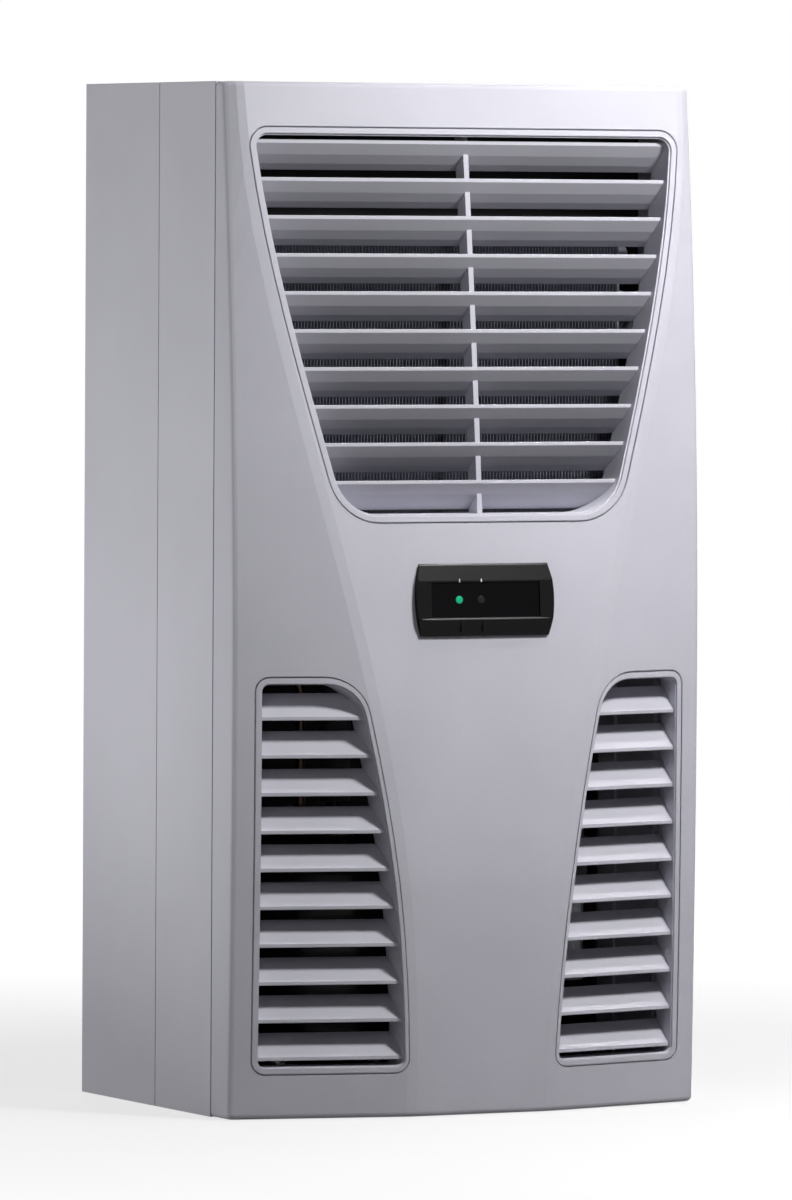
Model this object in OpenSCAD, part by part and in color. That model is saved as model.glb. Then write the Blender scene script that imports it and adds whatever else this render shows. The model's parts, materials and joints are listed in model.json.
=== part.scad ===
// Wall-mounted cooling unit for an electrical enclosure.
// Origin: centre of the rear mounting face. +X right, -Y towards the viewer, +Z up. Millimetres.
// Depths (names ending in _d) are measured forward from the rear mounting face.

/* [Housing] */
// Overall width
body_w = 280; // [270:1:290]
// Overall height
body_h = 550; // [545:1:560]
// Depth of the rear tray of the housing
tray_d = 93; // [91:1:95]
// Depth from the rear face to the joint with the front cover
seam_d = 162; // [161:1:170]
// Thickness of the sheet metal
skin = 1.5; // [1.2:0.1:1.8]
// Gap between the tray and the sleeve
joint_gap = 0.6; // [0.3:0.1:0.9]
// Length of the sleeve's joggled lap inside the tray
lap_d = 9; // [6:1:10]
// Length over which the joggle is welded to the sleeve
joggle_d = 3; // [2:0.5:4]
// Width of the sleeve's inward front flange
flange_w = 12; // [10:1:13]
// Clearance of parts that slip into each other
fit_gap = 0.2; // [0.1:0.05:0.3]
// Radius of the rivets through the lap
rivet_r = 2; // [1.5:0.25:2.5]
// Radius of a rivet's inner head
rivet_head_r = 4; // [3:0.5:5]
// Height of a rivet's inner head
rivet_head_t = 1.4; // [1:0.1:2]
// Pitch of the rivets
rivet_pitch = 95; // [80:1:110]

/* [Rear mounting face] */
// Width of the band around the raised middle, at the sides
plateau_x = 16; // [14:1:18]
// Height of the band around the raised middle, at top and bottom
plateau_z = 16; // [14:1:18]
// Thickness of the gasket around the rear face
gasket_t = 3; // [2:0.5:4]
// Clearance around the gasket in its channel
gasket_gap = 0.4; // [0.2:0.1:0.6]
// Distance of the fixing inserts from the sides
fixing_x = 28; // [26:1:30]
// Distance of the fixing inserts from the top and bottom
fixing_z = 45; // [40:1:50]
// Thread core radius of an insert
fixing_r = 2.5; // [2:0.25:3]
// Outer radius of an insert
insert_r = 4.5; // [4:0.25:5]
// Length of an insert
insert_len = 14; // [12:1:18]
// Radius of an insert's inner collar
collar_r = 7; // [6:0.5:8]
// Thickness of an insert's inner collar
collar_t = 1.2; // [0.8:0.1:1.5]
// Radius of the warm air inlet
inlet_r = 58; // [54:1:60]
// Distance of the warm air inlet's centre below the top
inlet_z = 105; // [102:1:108]
// Distance of the cold air outlet from the sides
outlet_x = 45; // [42:1:50]
// Bottom of the cold air outlet above the base
outlet_z = 42; // [38:1:46]
// Height of the cold air outlet
outlet_h = 104; // [96:1:108]
// Width of the bars that divide the cold air outlet
outlet_bar = 10; // [8:1:14]
// Corner radius of the cold air outlet's windows
outlet_corner_r = 6; // [4:1:10]
// Distance of the gland from the right side
gland_x = 70; // [66:1:74]
// Height of the gland above the cold air outlet
gland_z = 18; // [16:1:20]
// Radius of the gland's cable passage
gland_r = 6.5; // [6:0.25:7]
// Radius of the gland's sleeve in the rear wall
gland_sleeve_r = 10; // [9.5:0.25:10.5]
// Radius of the gland's nut
gland_nut_r = 14; // [13:0.5:15]
// Thickness of the gland's nut
gland_nut_t = 6; // [5:0.5:8]
// Length of the gland
gland_len = 24; // [20:1:28]

/* [Front cover] */
// Wall thickness of the moulded cover
wall = 3; // [2.8:0.1:3.4]
// Gap between the sleeve and the cover
seam_gap = 1; // [0.6:0.1:1.4]
// Depth of the waisted middle panel at its crest
panel_d = 48; // [46:1:50]
// Depth of the middle panel at the top
panel_top_d = 14; // [13:0.5:16]
// Depth of the middle panel at the bottom
panel_bottom_d = 43.4; // [42:0.2:45]
// Height of the middle panel's crest
panel_peak_z = 125; // [115:1:135]
// Depth of the side walls at their deepest
edge_d = 24.9; // [24:0.1:26]
// Depth of the side walls at the top
edge_top_d = 8; // [7.5:0.1:9]
// Depth of the side walls at the bottom
edge_bottom_d = 21.5; // [20:0.1:23]
// Height where they are deepest
edge_peak_z = 235; // [225:1:245]
// Half width of the middle panel at the bottom
crease_bottom_x = 42; // [40:1:44]
// Distance of the middle panel from the side at the top
crease_top_x = 8; // [7:0.5:9]
// Half width of the softened crease
crease_soft = 3; // [1:0.5:4]
// Rounding of the cover's outer edges
edge_r = 2.5; // [1.5:0.5:3]
// Height above the middle of the rib that parts the upper and lower air spaces
rib_z = 25; // [24:0.5:26]
// Thickness of that rib
rib_t = 2; // [1.5:0.5:2.5]
// Distance of the cover screws from the sides
screw_x = 45; // [42:1:50]
// Depth of the cover screws before the joint
screw_d = 6; // [5.5:0.5:6.5]
// Shaft radius of a cover screw
screw_r = 2; // [1.75:0.05:2.1]
// Head radius of a cover screw
screw_head_r = 3.8; // [3.5:0.1:4]
// Head height of a cover screw
screw_head_t = 1.6; // [1.2:0.1:2]
// Length of a cover screw
screw_len = 10; // [8:1:12]
// Width of a cover bracket
bracket_w = 20; // [16:1:24]
// Length of a cover bracket's two legs
bracket_leg = 9.5; // [9:0.5:10]

/* [Upper louvre] */
// Distance of the groove around the upper louvre from the top
louvre_top_z = 23.5; // [22:0.5:25]
// Height of that groove above the air rib
louvre_bottom_z = 15.8; // [14:0.2:18]
// Radius of the groove's upper corners
louvre_top_r = 11; // [9:0.5:12]
// Radius of the groove's lower corners
louvre_bottom_r = 31; // [28:1:34]
// Distance from the groove to the crease at the top
louvre_crease_gap = 1.6; // [1.4:0.1:2]
// Growth of that distance down to the bottom
louvre_crease_grow = 3.9; // [3:0.1:5]
// Groove around a louvre's frame
groove_gap = 0.8; // [0.6:0.1:1]
// Width of a louvre's frame with its groove
frame_w = 3.8; // [3.6:0.1:4.2]
// Thickness of a louvre's frame
frame_t = 1.6; // [1.4:0.1:1.8]
// Depth of the rebate that holds a louvre's frame
rebate_t = 1.9; // [1.85:0.05:2.1]
// Width of that rebate's ledge
ledge_w = 2.6; // [2.4:0.1:2.7]
// Clearance between the ledge and a louvre's collar
collar_gap = 0.6; // [0.4:0.1:0.8]
// Wall thickness of a louvre's collar
collar_wall = 1.6; // [1.2:0.1:2]
// Set-back of the collar's front edge
collar_step = 1.2; // [0.8:0.1:1.3]
// Depth of the upper louvre's collar
collar_d = 20; // [19.5:0.5:20.5]
// Set-back of the upper blades
blade_back = 5; // [4:0.5:6]
// Front-to-back length of an upper blade
blade_run = 15; // [13:0.5:15]
// Fall of an upper blade from front to back
blade_drop = 14.2; // [12:0.2:15]
// Height of a blade's blunt front edge
blade_lip = 1.9; // [1.5:0.1:2.2]
// Spacing of the blades
blade_pitch = 20.1; // [19.8:0.1:20.4]
// Distance of the uppermost blade's front edge below that groove's top
blade_top_z = 7; // [6.5:0.1:7.5]
// Position of the upright rib behind the blades
upright_x = 5; // [0:1:8]
// Thickness of the upright rib
upright_t = 3; // [2:0.5:4]
// Set-back of the upright rib
upright_back = 10.5; // [9:0.5:12]

/* [Side louvres] */
// Distance of the side louvres' grooves from the sides
vent_x = 11.4; // [10.5:0.1:12]
// Distance of a side groove below the air rib
vent_top_z = 64.8; // [63:0.2:66]
// Bottom of the groove around a side louvre, above the base
vent_bottom_z = 23.2; // [22:0.2:25]
// Distance from a side groove to the crease at the bottom
vent_crease_gap = 1; // [0.8:0.1:1.4]
// Growth of that distance over the height of the cover
vent_crease_grow = 6.5; // [6:0.5:8]
// Radius of the groove's large upper corner
vent_arch_r = 25; // [20:1:28]
// Radius of the groove's other corners
vent_corner_r = 8; // [6:0.5:9]
// Depth of a side louvre's collar
vent_collar_d = 18; // [17.5:0.5:18.5]
// Set-back of the side blades
vent_blade_back = 3; // [2:0.5:4]
// Front-to-back length of a side blade
vent_blade_run = 13; // [11:0.5:14]
// Rise of a side blade from front to back
vent_blade_rise = 12; // [10:0.5:13]
// Distance of the uppermost side blade's front edge below the groove's top
vent_blade_z = 23.4; // [23:0.1:24]

/* [Display] */
// Width of the bezel
bezel_w = 82; // [80:1:84]
// Height of the bezel
bezel_h = 38.6; // [38:0.2:40]
// Distance of the display's centre below the air rib
bezel_z = 25; // [24:0.5:26]
// Radius of the bezel's bowed ends
bezel_bow_r = 70; // [60:1:90]
// Height by which the bezel stands proud of the cover
bezel_proud = 3.6; // [3:0.1:4]
// Height at which its upper and lower edges stand proud
bezel_rim = 1.2; // [0.8:0.1:1.6]
// Height of its upper and lower bands
bezel_band = 9.2; // [8.5:0.1:9.6]
// Clearance between the bezel and the cover
bezel_gap = 0.3; // [0.2:0.05:0.4]
// Width of the window
window_w = 65; // [62:1:66]
// Height of the window
window_h = 18.6; // [18:0.1:19]
// Thickness of the window
window_t = 1.2; // [1:0.1:1.5]
// Set-back of the window
window_back = 0.8; // [0.5:0.1:1]
// Width of the display's box
box_w = 76; // [74:1:77]
// Height of the display's box
box_h = 33; // [32:0.5:34]
// Depth of the display's box
box_d = 16; // [14:1:18]
// Wall thickness of the display's box
box_wall = 1.5; // [1.2:0.1:1.8]
// Radius of an indicator lamp
lamp_r = 2.5; // [2:0.1:3]
// Position of the running lamp
lamp_x = -14.6; // [-16:0.2:-13]
// Distance between the two lamps
lamp_pitch = 13; // [12:0.5:14]
// Depth of the lamps between window and board
lamp_len = 6; // [5:0.5:7]
// Thickness of a board
board_t = 1.6; // [1.2:0.1:2]

/* [Partition] */
// Depth of the partition between the two air circuits
partition_d = 60; // [59.5:0.5:60.5]
// Thickness of the partition
partition_t = 1.2; // [1:0.1:1.5]
// Depth of the partition's edge flanges
partition_flange = 14; // [10:1:15]
// Thickness of the foam on the partition
foam_t = 6; // [5:0.5:6.5]
// Width of the free margin around the foam
foam_margin = 2.5; // [2:0.5:4]
// Radius of a pipe hole's free space in partition and foam
pipe_gap = 1.5; // [1:0.25:2]

/* [Inner air circuit] */
// Outer radius of the inner fan's impeller
impeller_r = 66; // [62:1:68]
// Depth of its front ring
impeller_front_d = 12.5; // [12:0.25:13]
// Depth of its rear disc
impeller_back_d = 44; // [43:0.5:45]
// Thickness of its discs
disc_t = 1.8; // [1.5:0.1:2]
// Thickness of its vanes
vane_t = 1.6; // [1.2:0.1:2]
// Number of vanes
vanes = 9; // [7:1:11]
// Sweep of the vanes against the radius, in degrees
vane_sweep = 38; // [30:1:45]
// Radius at which the vanes start
vane_r = 40; // [38:1:44]
// Radius of its motor can
can_r = 32; // [30:1:33]
// Length of its motor can
can_len = 22; // [20:1:24]
// Inner radius of its front ring
eye_r = 53; // [52:0.5:54]
// Radius of the fans' bearing pins
pin_r = 4; // [3.5:0.1:4.5]
// Running clearance of the fans on their pins
pin_gap = 0.05; // [0.02:0.01:0.08]
// Length of the inner fan's bearing pin
pin_len = 22; // [20:1:24]
// Radius of the inner fan's mounting stem
stem_r = 14; // [12:1:16]
// Radius of the inner fan's mounting flange
motor_flange_r = 28; // [26:1:30]
// Thickness of the inner fan's mounting flange
motor_flange_t = 4; // [3:0.5:5]
// Gap between a fan and what it turns beside
air_gap = 2; // [1.5:0.25:2.5]
// Throat radius of the nozzle
throat_r = 50; // [48:0.5:51]
// Depth of the nozzle's throat edge
throat_d = 14; // [13:0.5:14.5]
// Thickness of the nozzle
nozzle_t = 1.5; // [1.2:0.1:1.6]
// Half width of the guard's rings and spokes
wire_r = 1.2; // [1:0.1:1.3]
// Spacing of the guard's rings
ring_pitch = 12; // [10:1:13]
// Number of the guard's rings
rings = 4; // [3:1:4]
// Thickness of the guard's rim
guard_t = 2.6; // [2.4:0.1:2.8]
// Width of the guard's rim outside the inlet
guard_rim = 5; // [4:0.5:6]
// Distance of the two coils' fins from the sides
coil_x = 36; // [35:1:38]
// Thickness of a coil's end plates
end_plate_t = 1.2; // [1:0.1:1.5]
// Thickness of a fin
fin_t = 0.4; // [0.3:0.05:0.6]
// Number of spaces between the fins
fin_spaces = 40; // [30:2:44]
// Distance of the evaporator's foot below the air rib
evap_z = 50; // [48:1:51]
// Height of the evaporator
evap_h = 70; // [68:1:72]
// Rear of the evaporator's fins
evap_fin_d = 7; // [6:0.5:8]
// Depth of the evaporator's fins
evap_depth = 44; // [42:1:45]
// Spacing of the evaporator's tubes in depth
evap_tube_d = 14; // [13:0.5:14.5]
// Spacing of the evaporator's tubes in height
evap_tube_z = 23; // [22:0.5:23.5]
// Outer radius of the coil tubes
coil_tube_r = 4; // [3.5:0.25:4.2]
// Distance of the tray from the sides
sump_x = 18; // [17:1:20]
// Distance of the tray's floor below the evaporator
sump_z = 24; // [22:0.5:25]
// Height of the tray
sump_h = 18; // [16:1:19]
// Rear edge of the tray
sump_d = 6; // [5.5:0.5:7]
// Depth of the tray
sump_depth = 46; // [44:1:47]
// Wall thickness of the tray
sump_t = 2; // [1.5:0.25:2.5]
// Depth of the air slots through the tray
slot_depth = 14; // [12:1:15]
// Height of the rims around these slots
slot_rim = 12; // [10:1:13]
// Distance of the drain from the right side
drain_x = 40; // [39:1:42]
// Depth of the drain
drain_d = 34; // [33:0.5:35]
// Outer radius of the drain spout
spout_r = 6; // [5:0.25:6.5]
// Inner radius of the drain spout
spout_bore_r = 4; // [3:0.25:4.5]
// Length of the drain spout
spout_len = 19; // [17:1:20]
// Height of the spout's tip above the base
spout_tip = 3; // [2:0.5:4]
// Inner radius of the hose pocket
pocket_r = 14.5; // [14:0.25:15]
// Wall thickness of the hose pocket
pocket_t = 1.5; // [1.2:0.1:1.8]
// Radius of the spigots at the ends of the drain hose
spigot_r = 7.5; // [7:0.25:7.75]
// Length of a spigot
spigot_len = 14; // [12:1:15]
// Wall thickness of the drain hose
hose_t = 1.5; // [1.2:0.1:2]

/* [Outer air circuit] */
// Depth of the fan shroud's plate
shroud_d = 116; // [115:0.5:117]
// Height of the fan's centre above the condenser's foot
fan_z = 86; // [85:1:88]
// Radius of the fan's rotor
rotor_r = 71; // [68:0.5:71.5]
// Radius of the fan's round opening
bore_r = 73; // [72.8:0.1:74]
// Half width of the square fan frame
frame_half = 80; // [79:0.5:82]
// Depth of the fan's frame
frame_depth = 32; // [30:1:34]
// Width of the motor's four arms
arm_w = 9; // [7:1:12]
// Thickness of the four arms
arm_t = 4; // [3:0.5:5]
// Radius of the rotor's hub
hub_r = 28; // [26:1:30]
// Depth of the rotor's hub
hub_d = 20; // [18:1:21]
// Number of rotor blades
rotor_blades = 7; // [5:1:9]
// Pitch of the rotor blades, in degrees
rotor_pitch = 32; // [25:1:38]
// Thickness of a rotor blade
rotor_blade_t = 2.2; // [1.8:0.1:2.6]
// Distance of the fan screws from the fan's centre
fan_screw_x = 74; // [73:0.5:75]
// Front of the condenser's fins
cond_front_d = 158; // [157:0.5:159]
// Depth of the condenser's fins
cond_depth = 24; // [22:1:26]
// Height of the condenser above the air rib
cond_h = 172; // [171:0.5:174]
// Spacing of the condenser's tubes in depth
cond_tube_d = 12; // [11:0.5:13]
// Spacing of the condenser's tubes in height
cond_tube_z = 24; // [23:0.25:24.5]
// Number of tubes above each other in the condenser
cond_tubes = 7; // [5:2:7]
// Height of the lowest condenser tube above the air rib
cond_tube_z0 = 14; // [13:0.5:15]

/* [Compressor] */
// Radius of the shell
shell_r = 48; // [46:0.5:49]
// Height of the shell
shell_h = 126; // [120:1:128]
// Height of the shell's domed ends
dome_h = 26; // [24:1:30]
// Radius of the flat middle of the domed ends
dome_flat_r = 14; // [10:1:18]
// Height of the shell's weld bead
bead_h = 3; // [2:0.5:4]
// Height by which the weld bead stands out
bead_out = 1.2; // [0.8:0.1:1.6]
// Distance of the compressor's axis from the left side
comp_x = 90; // [89:0.5:91]
// Depth of the compressor's centre
comp_d = 118; // [117:0.5:118.5]
// Width spacing of the feet
foot_x = 92; // [90:1:94]
// Spacing of the feet in depth
foot_d = 68; // [66:1:70]
// Thickness of the foot plate
foot_t = 2.5; // [2:0.25:3]
// Margin of the foot plate around its holes
foot_margin = 8; // [7:0.5:8.5]
// Thickness of the base plate
base_t = 2; // [1.5:0.25:2.5]
// Height of the rubber feet
grommet_h = 13; // [12:0.5:14]
// Radius of the rubber feet
grommet_r = 8; // [7:0.5:9]
// Radius of the rubber feet's waist
grommet_waist_r = 6; // [5.5:0.25:6.5]
// Radius of the bolts
bolt_r = 3; // [2.5:0.25:3.5]
// Radius of the bolts' nuts across the corners
nut_r = 5.2; // [4.8:0.1:5.4]
// Height of the bolts' nuts
nut_t = 4.5; // [4:0.25:5]
// Thickness of the terminal cover on the compressor
cap_out = 14; // [12:1:16]
// Half width of the terminal cover
cap_half = 15; // [13:1:17]
// Height of the terminal cover
cap_h = 42; // [38:1:46]

/* [Pipes and controls] */
// Outer radius of the suction pipe
suction_r = 4; // [3.5:0.25:4.25]
// Outer radius of the discharge and liquid pipes
pipe_r = 3; // [2.5:0.25:3.25]
// Bend radius of the pipes
bend_r = 10; // [9:0.5:11]
// Length of the pipe stubs on the compressor
stub_len = 14; // [12:1:16]
// Outer radius of the filter drier
drier_r = 9.5; // [8.5:0.25:9.5]
// Length of the filter drier
drier_len = 84; // [78:1:88]
// Length of the drier's spun ends
drier_neck = 10; // [8:1:12]
// Outer radius of the capillary tube
capillary_r = 1.3; // [1:0.1:1.5]
// Radius of the capillary's loops
loop_r = 11; // [10:0.5:11]
// Spacing of the capillary's loops
loop_pitch = 4; // [3.5:0.25:4.5]
// Number of the capillary's loops
loops = 4; // [3:1:5]
// Distance of the controls plate from the right side
controls_x = 8; // [6:1:10]
// Width of the controls plate
controls_w = 112; // [110:1:113]
// Bottom of the controls plate above the base
controls_z = 58; // [56:1:60]
// Height of the controls plate
controls_h = 208; // [206:1:209]
// Depth of its folded edges
controls_fold = 8; // [6:1:10]
// Width of the control board
board_w = 92; // [88:1:94]
// Height of the control board
board_h = 68; // [64:1:70]
// Length of the standoffs
standoff_len = 10; // [8:1:12]
// Radius of the standoffs
standoff_r = 3; // [2.5:0.25:3.5]
// Radius of the capacitor
cap_r = 17; // [16:0.5:17.5]
// Length of the capacitor
cap_len = 66; // [60:1:70]
// Thickness of the strap
strap_t = 1.2; // [1:0.1:1.5]
// Width of the strap
strap_w = 12; // [10:1:14]
// Radius of the earth stud
stud_r = 3; // [2.5:0.25:3.5]
// Length of the earth stud
stud_len = 16; // [14:1:18]
// Radius of the inner cables
cable_r = 3; // [2.5:0.25:3.5]

/* [Hidden] */

$fn = 64;
// Overcut of subtracted shapes
over = 1;
// Half step for measuring a slope
probe = 0.5;
half_w = body_w / 2;
// Exponents of the cover's curves
panel_top_bow = 1.55;
panel_bottom_bow = 1.4;
edge_bow = 2;
crease_bias = 1.2;
// Share of the side facet that the softened crease may take
crease_soft_share = 0.25;
// Share of a side louvre's frame width kept beside the crease
vent_inner_share = 0.65;
// Rows of the cover's skin, and steps of its rounded edges
cover_rows = 22;
round_steps = 3;
side_steps = 8;
arc_steps = 8;
edge_steps = 3;
// Run and fall along an upper blade
blade_shares = [[0, 0], [0.35, 0.42], [0.7, 0.76], [1, 1]];

// Colours
paint = [0.78, 0.78, 0.8];
galvanised = [0.66, 0.68, 0.7];
black_plastic = [0.06, 0.06, 0.07];
rubber_black = [0.08, 0.08, 0.08];
copper = [0.72, 0.42, 0.26];
fin_metal = [0.8, 0.81, 0.83];
foam_grey = [0.3, 0.3, 0.32];
shell_black = [0.09, 0.09, 0.1];
board_green = [0.1, 0.32, 0.18];

// Positions that several pieces share
cover_back_d = seam_d + seam_gap;
plateau_half = half_w - plateau_x;
plateau_top = body_h - plateau_z;
inside_x = half_w - skin - fit_gap;
air_rib_z = body_h / 2 + rib_z;
crease_high_x = half_w - crease_top_x;
screw_axis_x = half_w - screw_x;
louvre_high_z = body_h - louvre_top_z;
louvre_low_z = air_rib_z + louvre_bottom_z;
blade_first_z = louvre_high_z - blade_top_z;
blade_count = floor((blade_first_z - louvre_low_z - frame_w - blade_drop) / blade_pitch) + 1;
vent_edge_x = half_w - vent_x;
vent_high_z = air_rib_z - vent_top_z;
vent_first_z = vent_high_z - vent_blade_z;
vent_blade_count = floor((vent_first_z - vent_bottom_z - frame_w) / blade_pitch) + 1;
display_z = air_rib_z - bezel_z;
tilt = atan((panel_depth(display_z - probe) - panel_depth(display_z + probe)) / (2 * probe));
inlet_axis_z = body_h - inlet_z;
outlet_half = half_w - outlet_x;
gland_axis_x = half_w - gland_x;
gland_axis_z = outlet_z + outlet_h + gland_z;
foam_d = partition_d - foam_t;
plate_face_d = partition_d + partition_t;
controls_face_d = plate_face_d + skin;
coil_half = half_w - coil_x;
coil_end = coil_half + end_plate_t;
evap_foot_z = air_rib_z - evap_z;
evap_tube0_d = evap_fin_d + evap_depth / 2 - evap_tube_d;
evap_tube0_z = evap_foot_z + evap_h / 2 - evap_tube_z;
sump_half = half_w - sump_x;
sump_floor_z = evap_foot_z - sump_z;
drain_axis_x = half_w - drain_x;
hose_r = spigot_r + fit_gap + hose_t;
cond_z = air_rib_z + rib_t;
cond_tube0_d = cond_front_d - cond_depth / 2 - cond_tube_d / 2;
frame_back_d = shroud_d - frame_depth;
fan_axis_z = cond_z + fan_z;
base_z = 2 * skin + fit_gap + rivet_head_t;
foot_z = base_z + base_t + grommet_h;
shell_z = foot_z + foot_t;
comp_axis_x = comp_x - half_w;

// Pipes: distances from the sides, from the compressor's axis, and from the coils
riser_side = 24;
inlet_riser_side = 12;
suction_back = 18;
suction_stub = 14;
discharge_stub = 16;
suction_rise = 26;
discharge_fall = 68;
drier_gap = 10;
capillary_fall = 34;
riser_x = half_w - riser_side;
inlet_riser_x = half_w - inlet_riser_side;
suction_z = evap_foot_z + suction_rise;
discharge_z = air_rib_z - discharge_fall;
drier_top_z = discharge_z - drier_gap;
capillary_z = drier_top_z - drier_len - capillary_fall;
suction_drop_d = comp_d - suction_back;
suction_stub_x = comp_axis_x + suction_stub;
discharge_stub_x = comp_axis_x - discharge_stub;
stub_top_z = shell_z + shell_h + stub_len;

// What sits on the controls plate: distances from the right side, sizes, and heights
board_side = 22;
board_down = 16;
terminal_side = 11;
terminal_z = 116;
terminal_w = 40;
terminal_h = 22;
terminal_d = 18;
terminal_hole_r = 2.5;
relay_d = 16;
transformer_d = 24;
plug_d = 9;
board_cap_len = 14;
board_cap_r = 4;
cap_side = 82;
cap_z = 70;
earth_side = 32;
earth_z = 92;
controls_left_x = half_w - controls_x - controls_w;
board_x = half_w - board_side - board_w;
board_z = controls_z + controls_h - board_down - board_h;
terminal_x = half_w - terminal_side - terminal_w / 2;
cap_x = half_w - cap_side;
earth_x = half_w - earth_side;

// Route of the foam sleeve on the suction pipe
sleeve_t = 4;
suction_sleeve = [[inlet_riser_x, controls_face_d + controls_fold + fit_gap, suction_z],
    [inlet_riser_x, suction_drop_d, suction_z], [suction_stub_x, suction_drop_d, suction_z],
    [suction_stub_x, suction_drop_d, stub_top_z + fit_gap]];

function smooth(t) = t * t * (3 - 2 * t);

// Depth of the middle panel in front of the joint, at height z
function panel_depth(z) = z > panel_peak_z
    ? panel_d - (panel_d - panel_top_d) * pow((z - panel_peak_z) / (body_h - panel_peak_z), panel_top_bow)
    : panel_d - (panel_d - panel_bottom_d) * pow((panel_peak_z - z) / panel_peak_z, panel_bottom_bow);

// Depth of the cover's side walls in front of the joint, at height z
function edge_depth(z) = z > edge_peak_z
    ? edge_d - (edge_d - edge_top_d) * pow((z - edge_peak_z) / (body_h - edge_peak_z), edge_bow)
    : edge_d - (edge_d - edge_bottom_d) * pow((edge_peak_z - z) / edge_peak_z, edge_bow);

// Half width of the middle panel at height z
function crease_x(z) = crease_bottom_x + (crease_high_x - crease_bottom_x) * smooth(pow(max(0, z / body_h), crease_bias));

// Fall of a side facet per unit of width, at height z
function facet_fall(z) = (panel_depth(z) - edge_depth(z)) / (half_w - crease_x(z));

// Points of an arc in the X-Z plane
function arc(x, z, r, a0, a1) = [for (i = [0 : arc_steps]) let (a = a0 + (a1 - a0) * i / arc_steps)
    [x + r * cos(a), z + r * sin(a)]];

function reversed(list) = [for (i = [len(list) - 1 : -1 : 0]) list[i]];

// Side line of the upper louvre's groove, drawn in by off
function louvre_side(z, off) = crease_x(z) - louvre_crease_gap - off
    - louvre_crease_grow * (louvre_high_z - z) / (louvre_high_z - louvre_low_z);

function louvre_lean(z) = atan((louvre_side(z + probe, 0) - louvre_side(z - probe, 0)) / (2 * probe));

// Right half of the upper louvre's outline, from the bottom to the top
function louvre_half(off) = let (
    rt = louvre_top_r - off,
    rb = louvre_bottom_r - off,
    zt = louvre_high_z - louvre_top_r,
    zb = louvre_low_z + louvre_bottom_r,
    lean_t = louvre_lean(zt),
    lean_b = louvre_lean(zb),
    z1 = zb - rb * sin(lean_b),
    z2 = zt - rt * sin(lean_t),
    x1 = louvre_side(z1, off) - rb * cos(lean_b),
    x2 = louvre_side(z2, off) - rt * cos(lean_t))
    concat(arc(x1, zb, rb, -90, -lean_b),
        [for (i = [1 : side_steps - 1]) let (z = z1 + (z2 - z1) * i / side_steps) [louvre_side(z, off), z]],
        arc(x2, zt, rt, -lean_t, 90));

function louvre_outline(off) = concat(louvre_half(off), [for (p = reversed(louvre_half(off))) [-p[0], p[1]]]);

// Inner side line of a side louvre's groove, drawn in by off
function vent_side(z, off) = crease_x(z) + vent_crease_gap + vent_crease_grow * z / body_h + off * vent_inner_share;

function vent_lean(z) = atan((vent_side(z + probe, 0) - vent_side(z - probe, 0)) / (2 * probe));

// Outline of the right side louvre
function vent_outline(off) = let (
    r = vent_corner_r - off,
    ra = vent_arch_r - off,
    zt = vent_high_z - vent_corner_r,
    za = vent_high_z - vent_arch_r,
    zb = vent_bottom_z + vent_corner_r,
    lean_a = vent_lean(za),
    lean_b = vent_lean(zb),
    z1 = za + ra * sin(lean_a),
    z2 = zb + r * sin(lean_b),
    x1 = vent_side(z1, off) + ra * cos(lean_a),
    x2 = vent_side(z2, off) + r * cos(lean_b))
    concat(arc(vent_edge_x - off - r, zb, r, -90, 0),
        arc(vent_edge_x - off - r, zt, r, 0, 90),
        arc(x1, za, ra, 90, 180 - lean_a),
        [for (i = [1 : side_steps - 1]) let (z = z1 + (z2 - z1) * i / side_steps) [vent_side(z, off), z]],
        arc(x2, zb, r, 180 - lean_b, 270));

// Heights and edge set-backs of the cover's rows, from z0 to z1 with rounded ends
function cover_levels(z0, z1) = concat(
    [for (i = [0 : round_steps]) let (a = 90 * i / round_steps) [z0 + edge_r * (1 - cos(a)), edge_r * (1 - sin(a))]],
    [for (i = [1 : cover_rows - 1]) [z0 + (z1 - z0) * i / cover_rows, 0]],
    [for (i = [round_steps : -1 : 0]) let (a = 90 * i / round_steps) [z1 - edge_r * (1 - cos(a)), edge_r * (1 - sin(a))]]);

// One row of the cover's skin, set back by drop and narrowed by wall
function cover_row(z, inset, drop, narrow, back) = let (
    hx = half_w - narrow - inset,
    s = min(crease_soft, (half_w - crease_x(z)) * crease_soft_share),
    c = min(crease_x(z), hx - edge_r - s - probe),
    t = seam_d + panel_depth(z) - drop - inset,
    m = facet_fall(z),
    corner = t - m * (hx - c),
    edge = [for (i = [0 : edge_steps]) let (u = i / edge_steps, v = 1 - u)
        [hx - edge_r * v * v, corner + edge_r * (m * v * v - u * u)]],
    half = concat([[c - s, t], [c + s, t - m * s]], edge, [[hx, back]]))
    concat([for (p = reversed(half)) [-p[0], -p[1], z]], [for (p = half) [p[0], -p[1], z]]);

// Solid between the joint and the cover's skin
module cover_loft(drop, narrow, back, z0, z1) {
    levels = cover_levels(z0, z1);
    n = len(cover_row(levels[0][0], levels[0][1], drop, narrow, back));
    rows = len(levels);
    points = [for (l = levels) each cover_row(l[0], l[1], drop, narrow, back)];
    sides = [for (k = [0 : rows - 2]) for (i = [0 : n - 1]) let (j = (i + 1) % n)
        each [[k * n + i, (k + 1) * n + i, (k + 1) * n + j], [k * n + i, (k + 1) * n + j, k * n + j]]];
    ends = [[for (i = [0 : n - 1]) i], [for (i = [n - 1 : -1 : 0]) (rows - 1) * n + i]];
    polyhedron(points = points, faces = concat(sides, ends));
}

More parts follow.
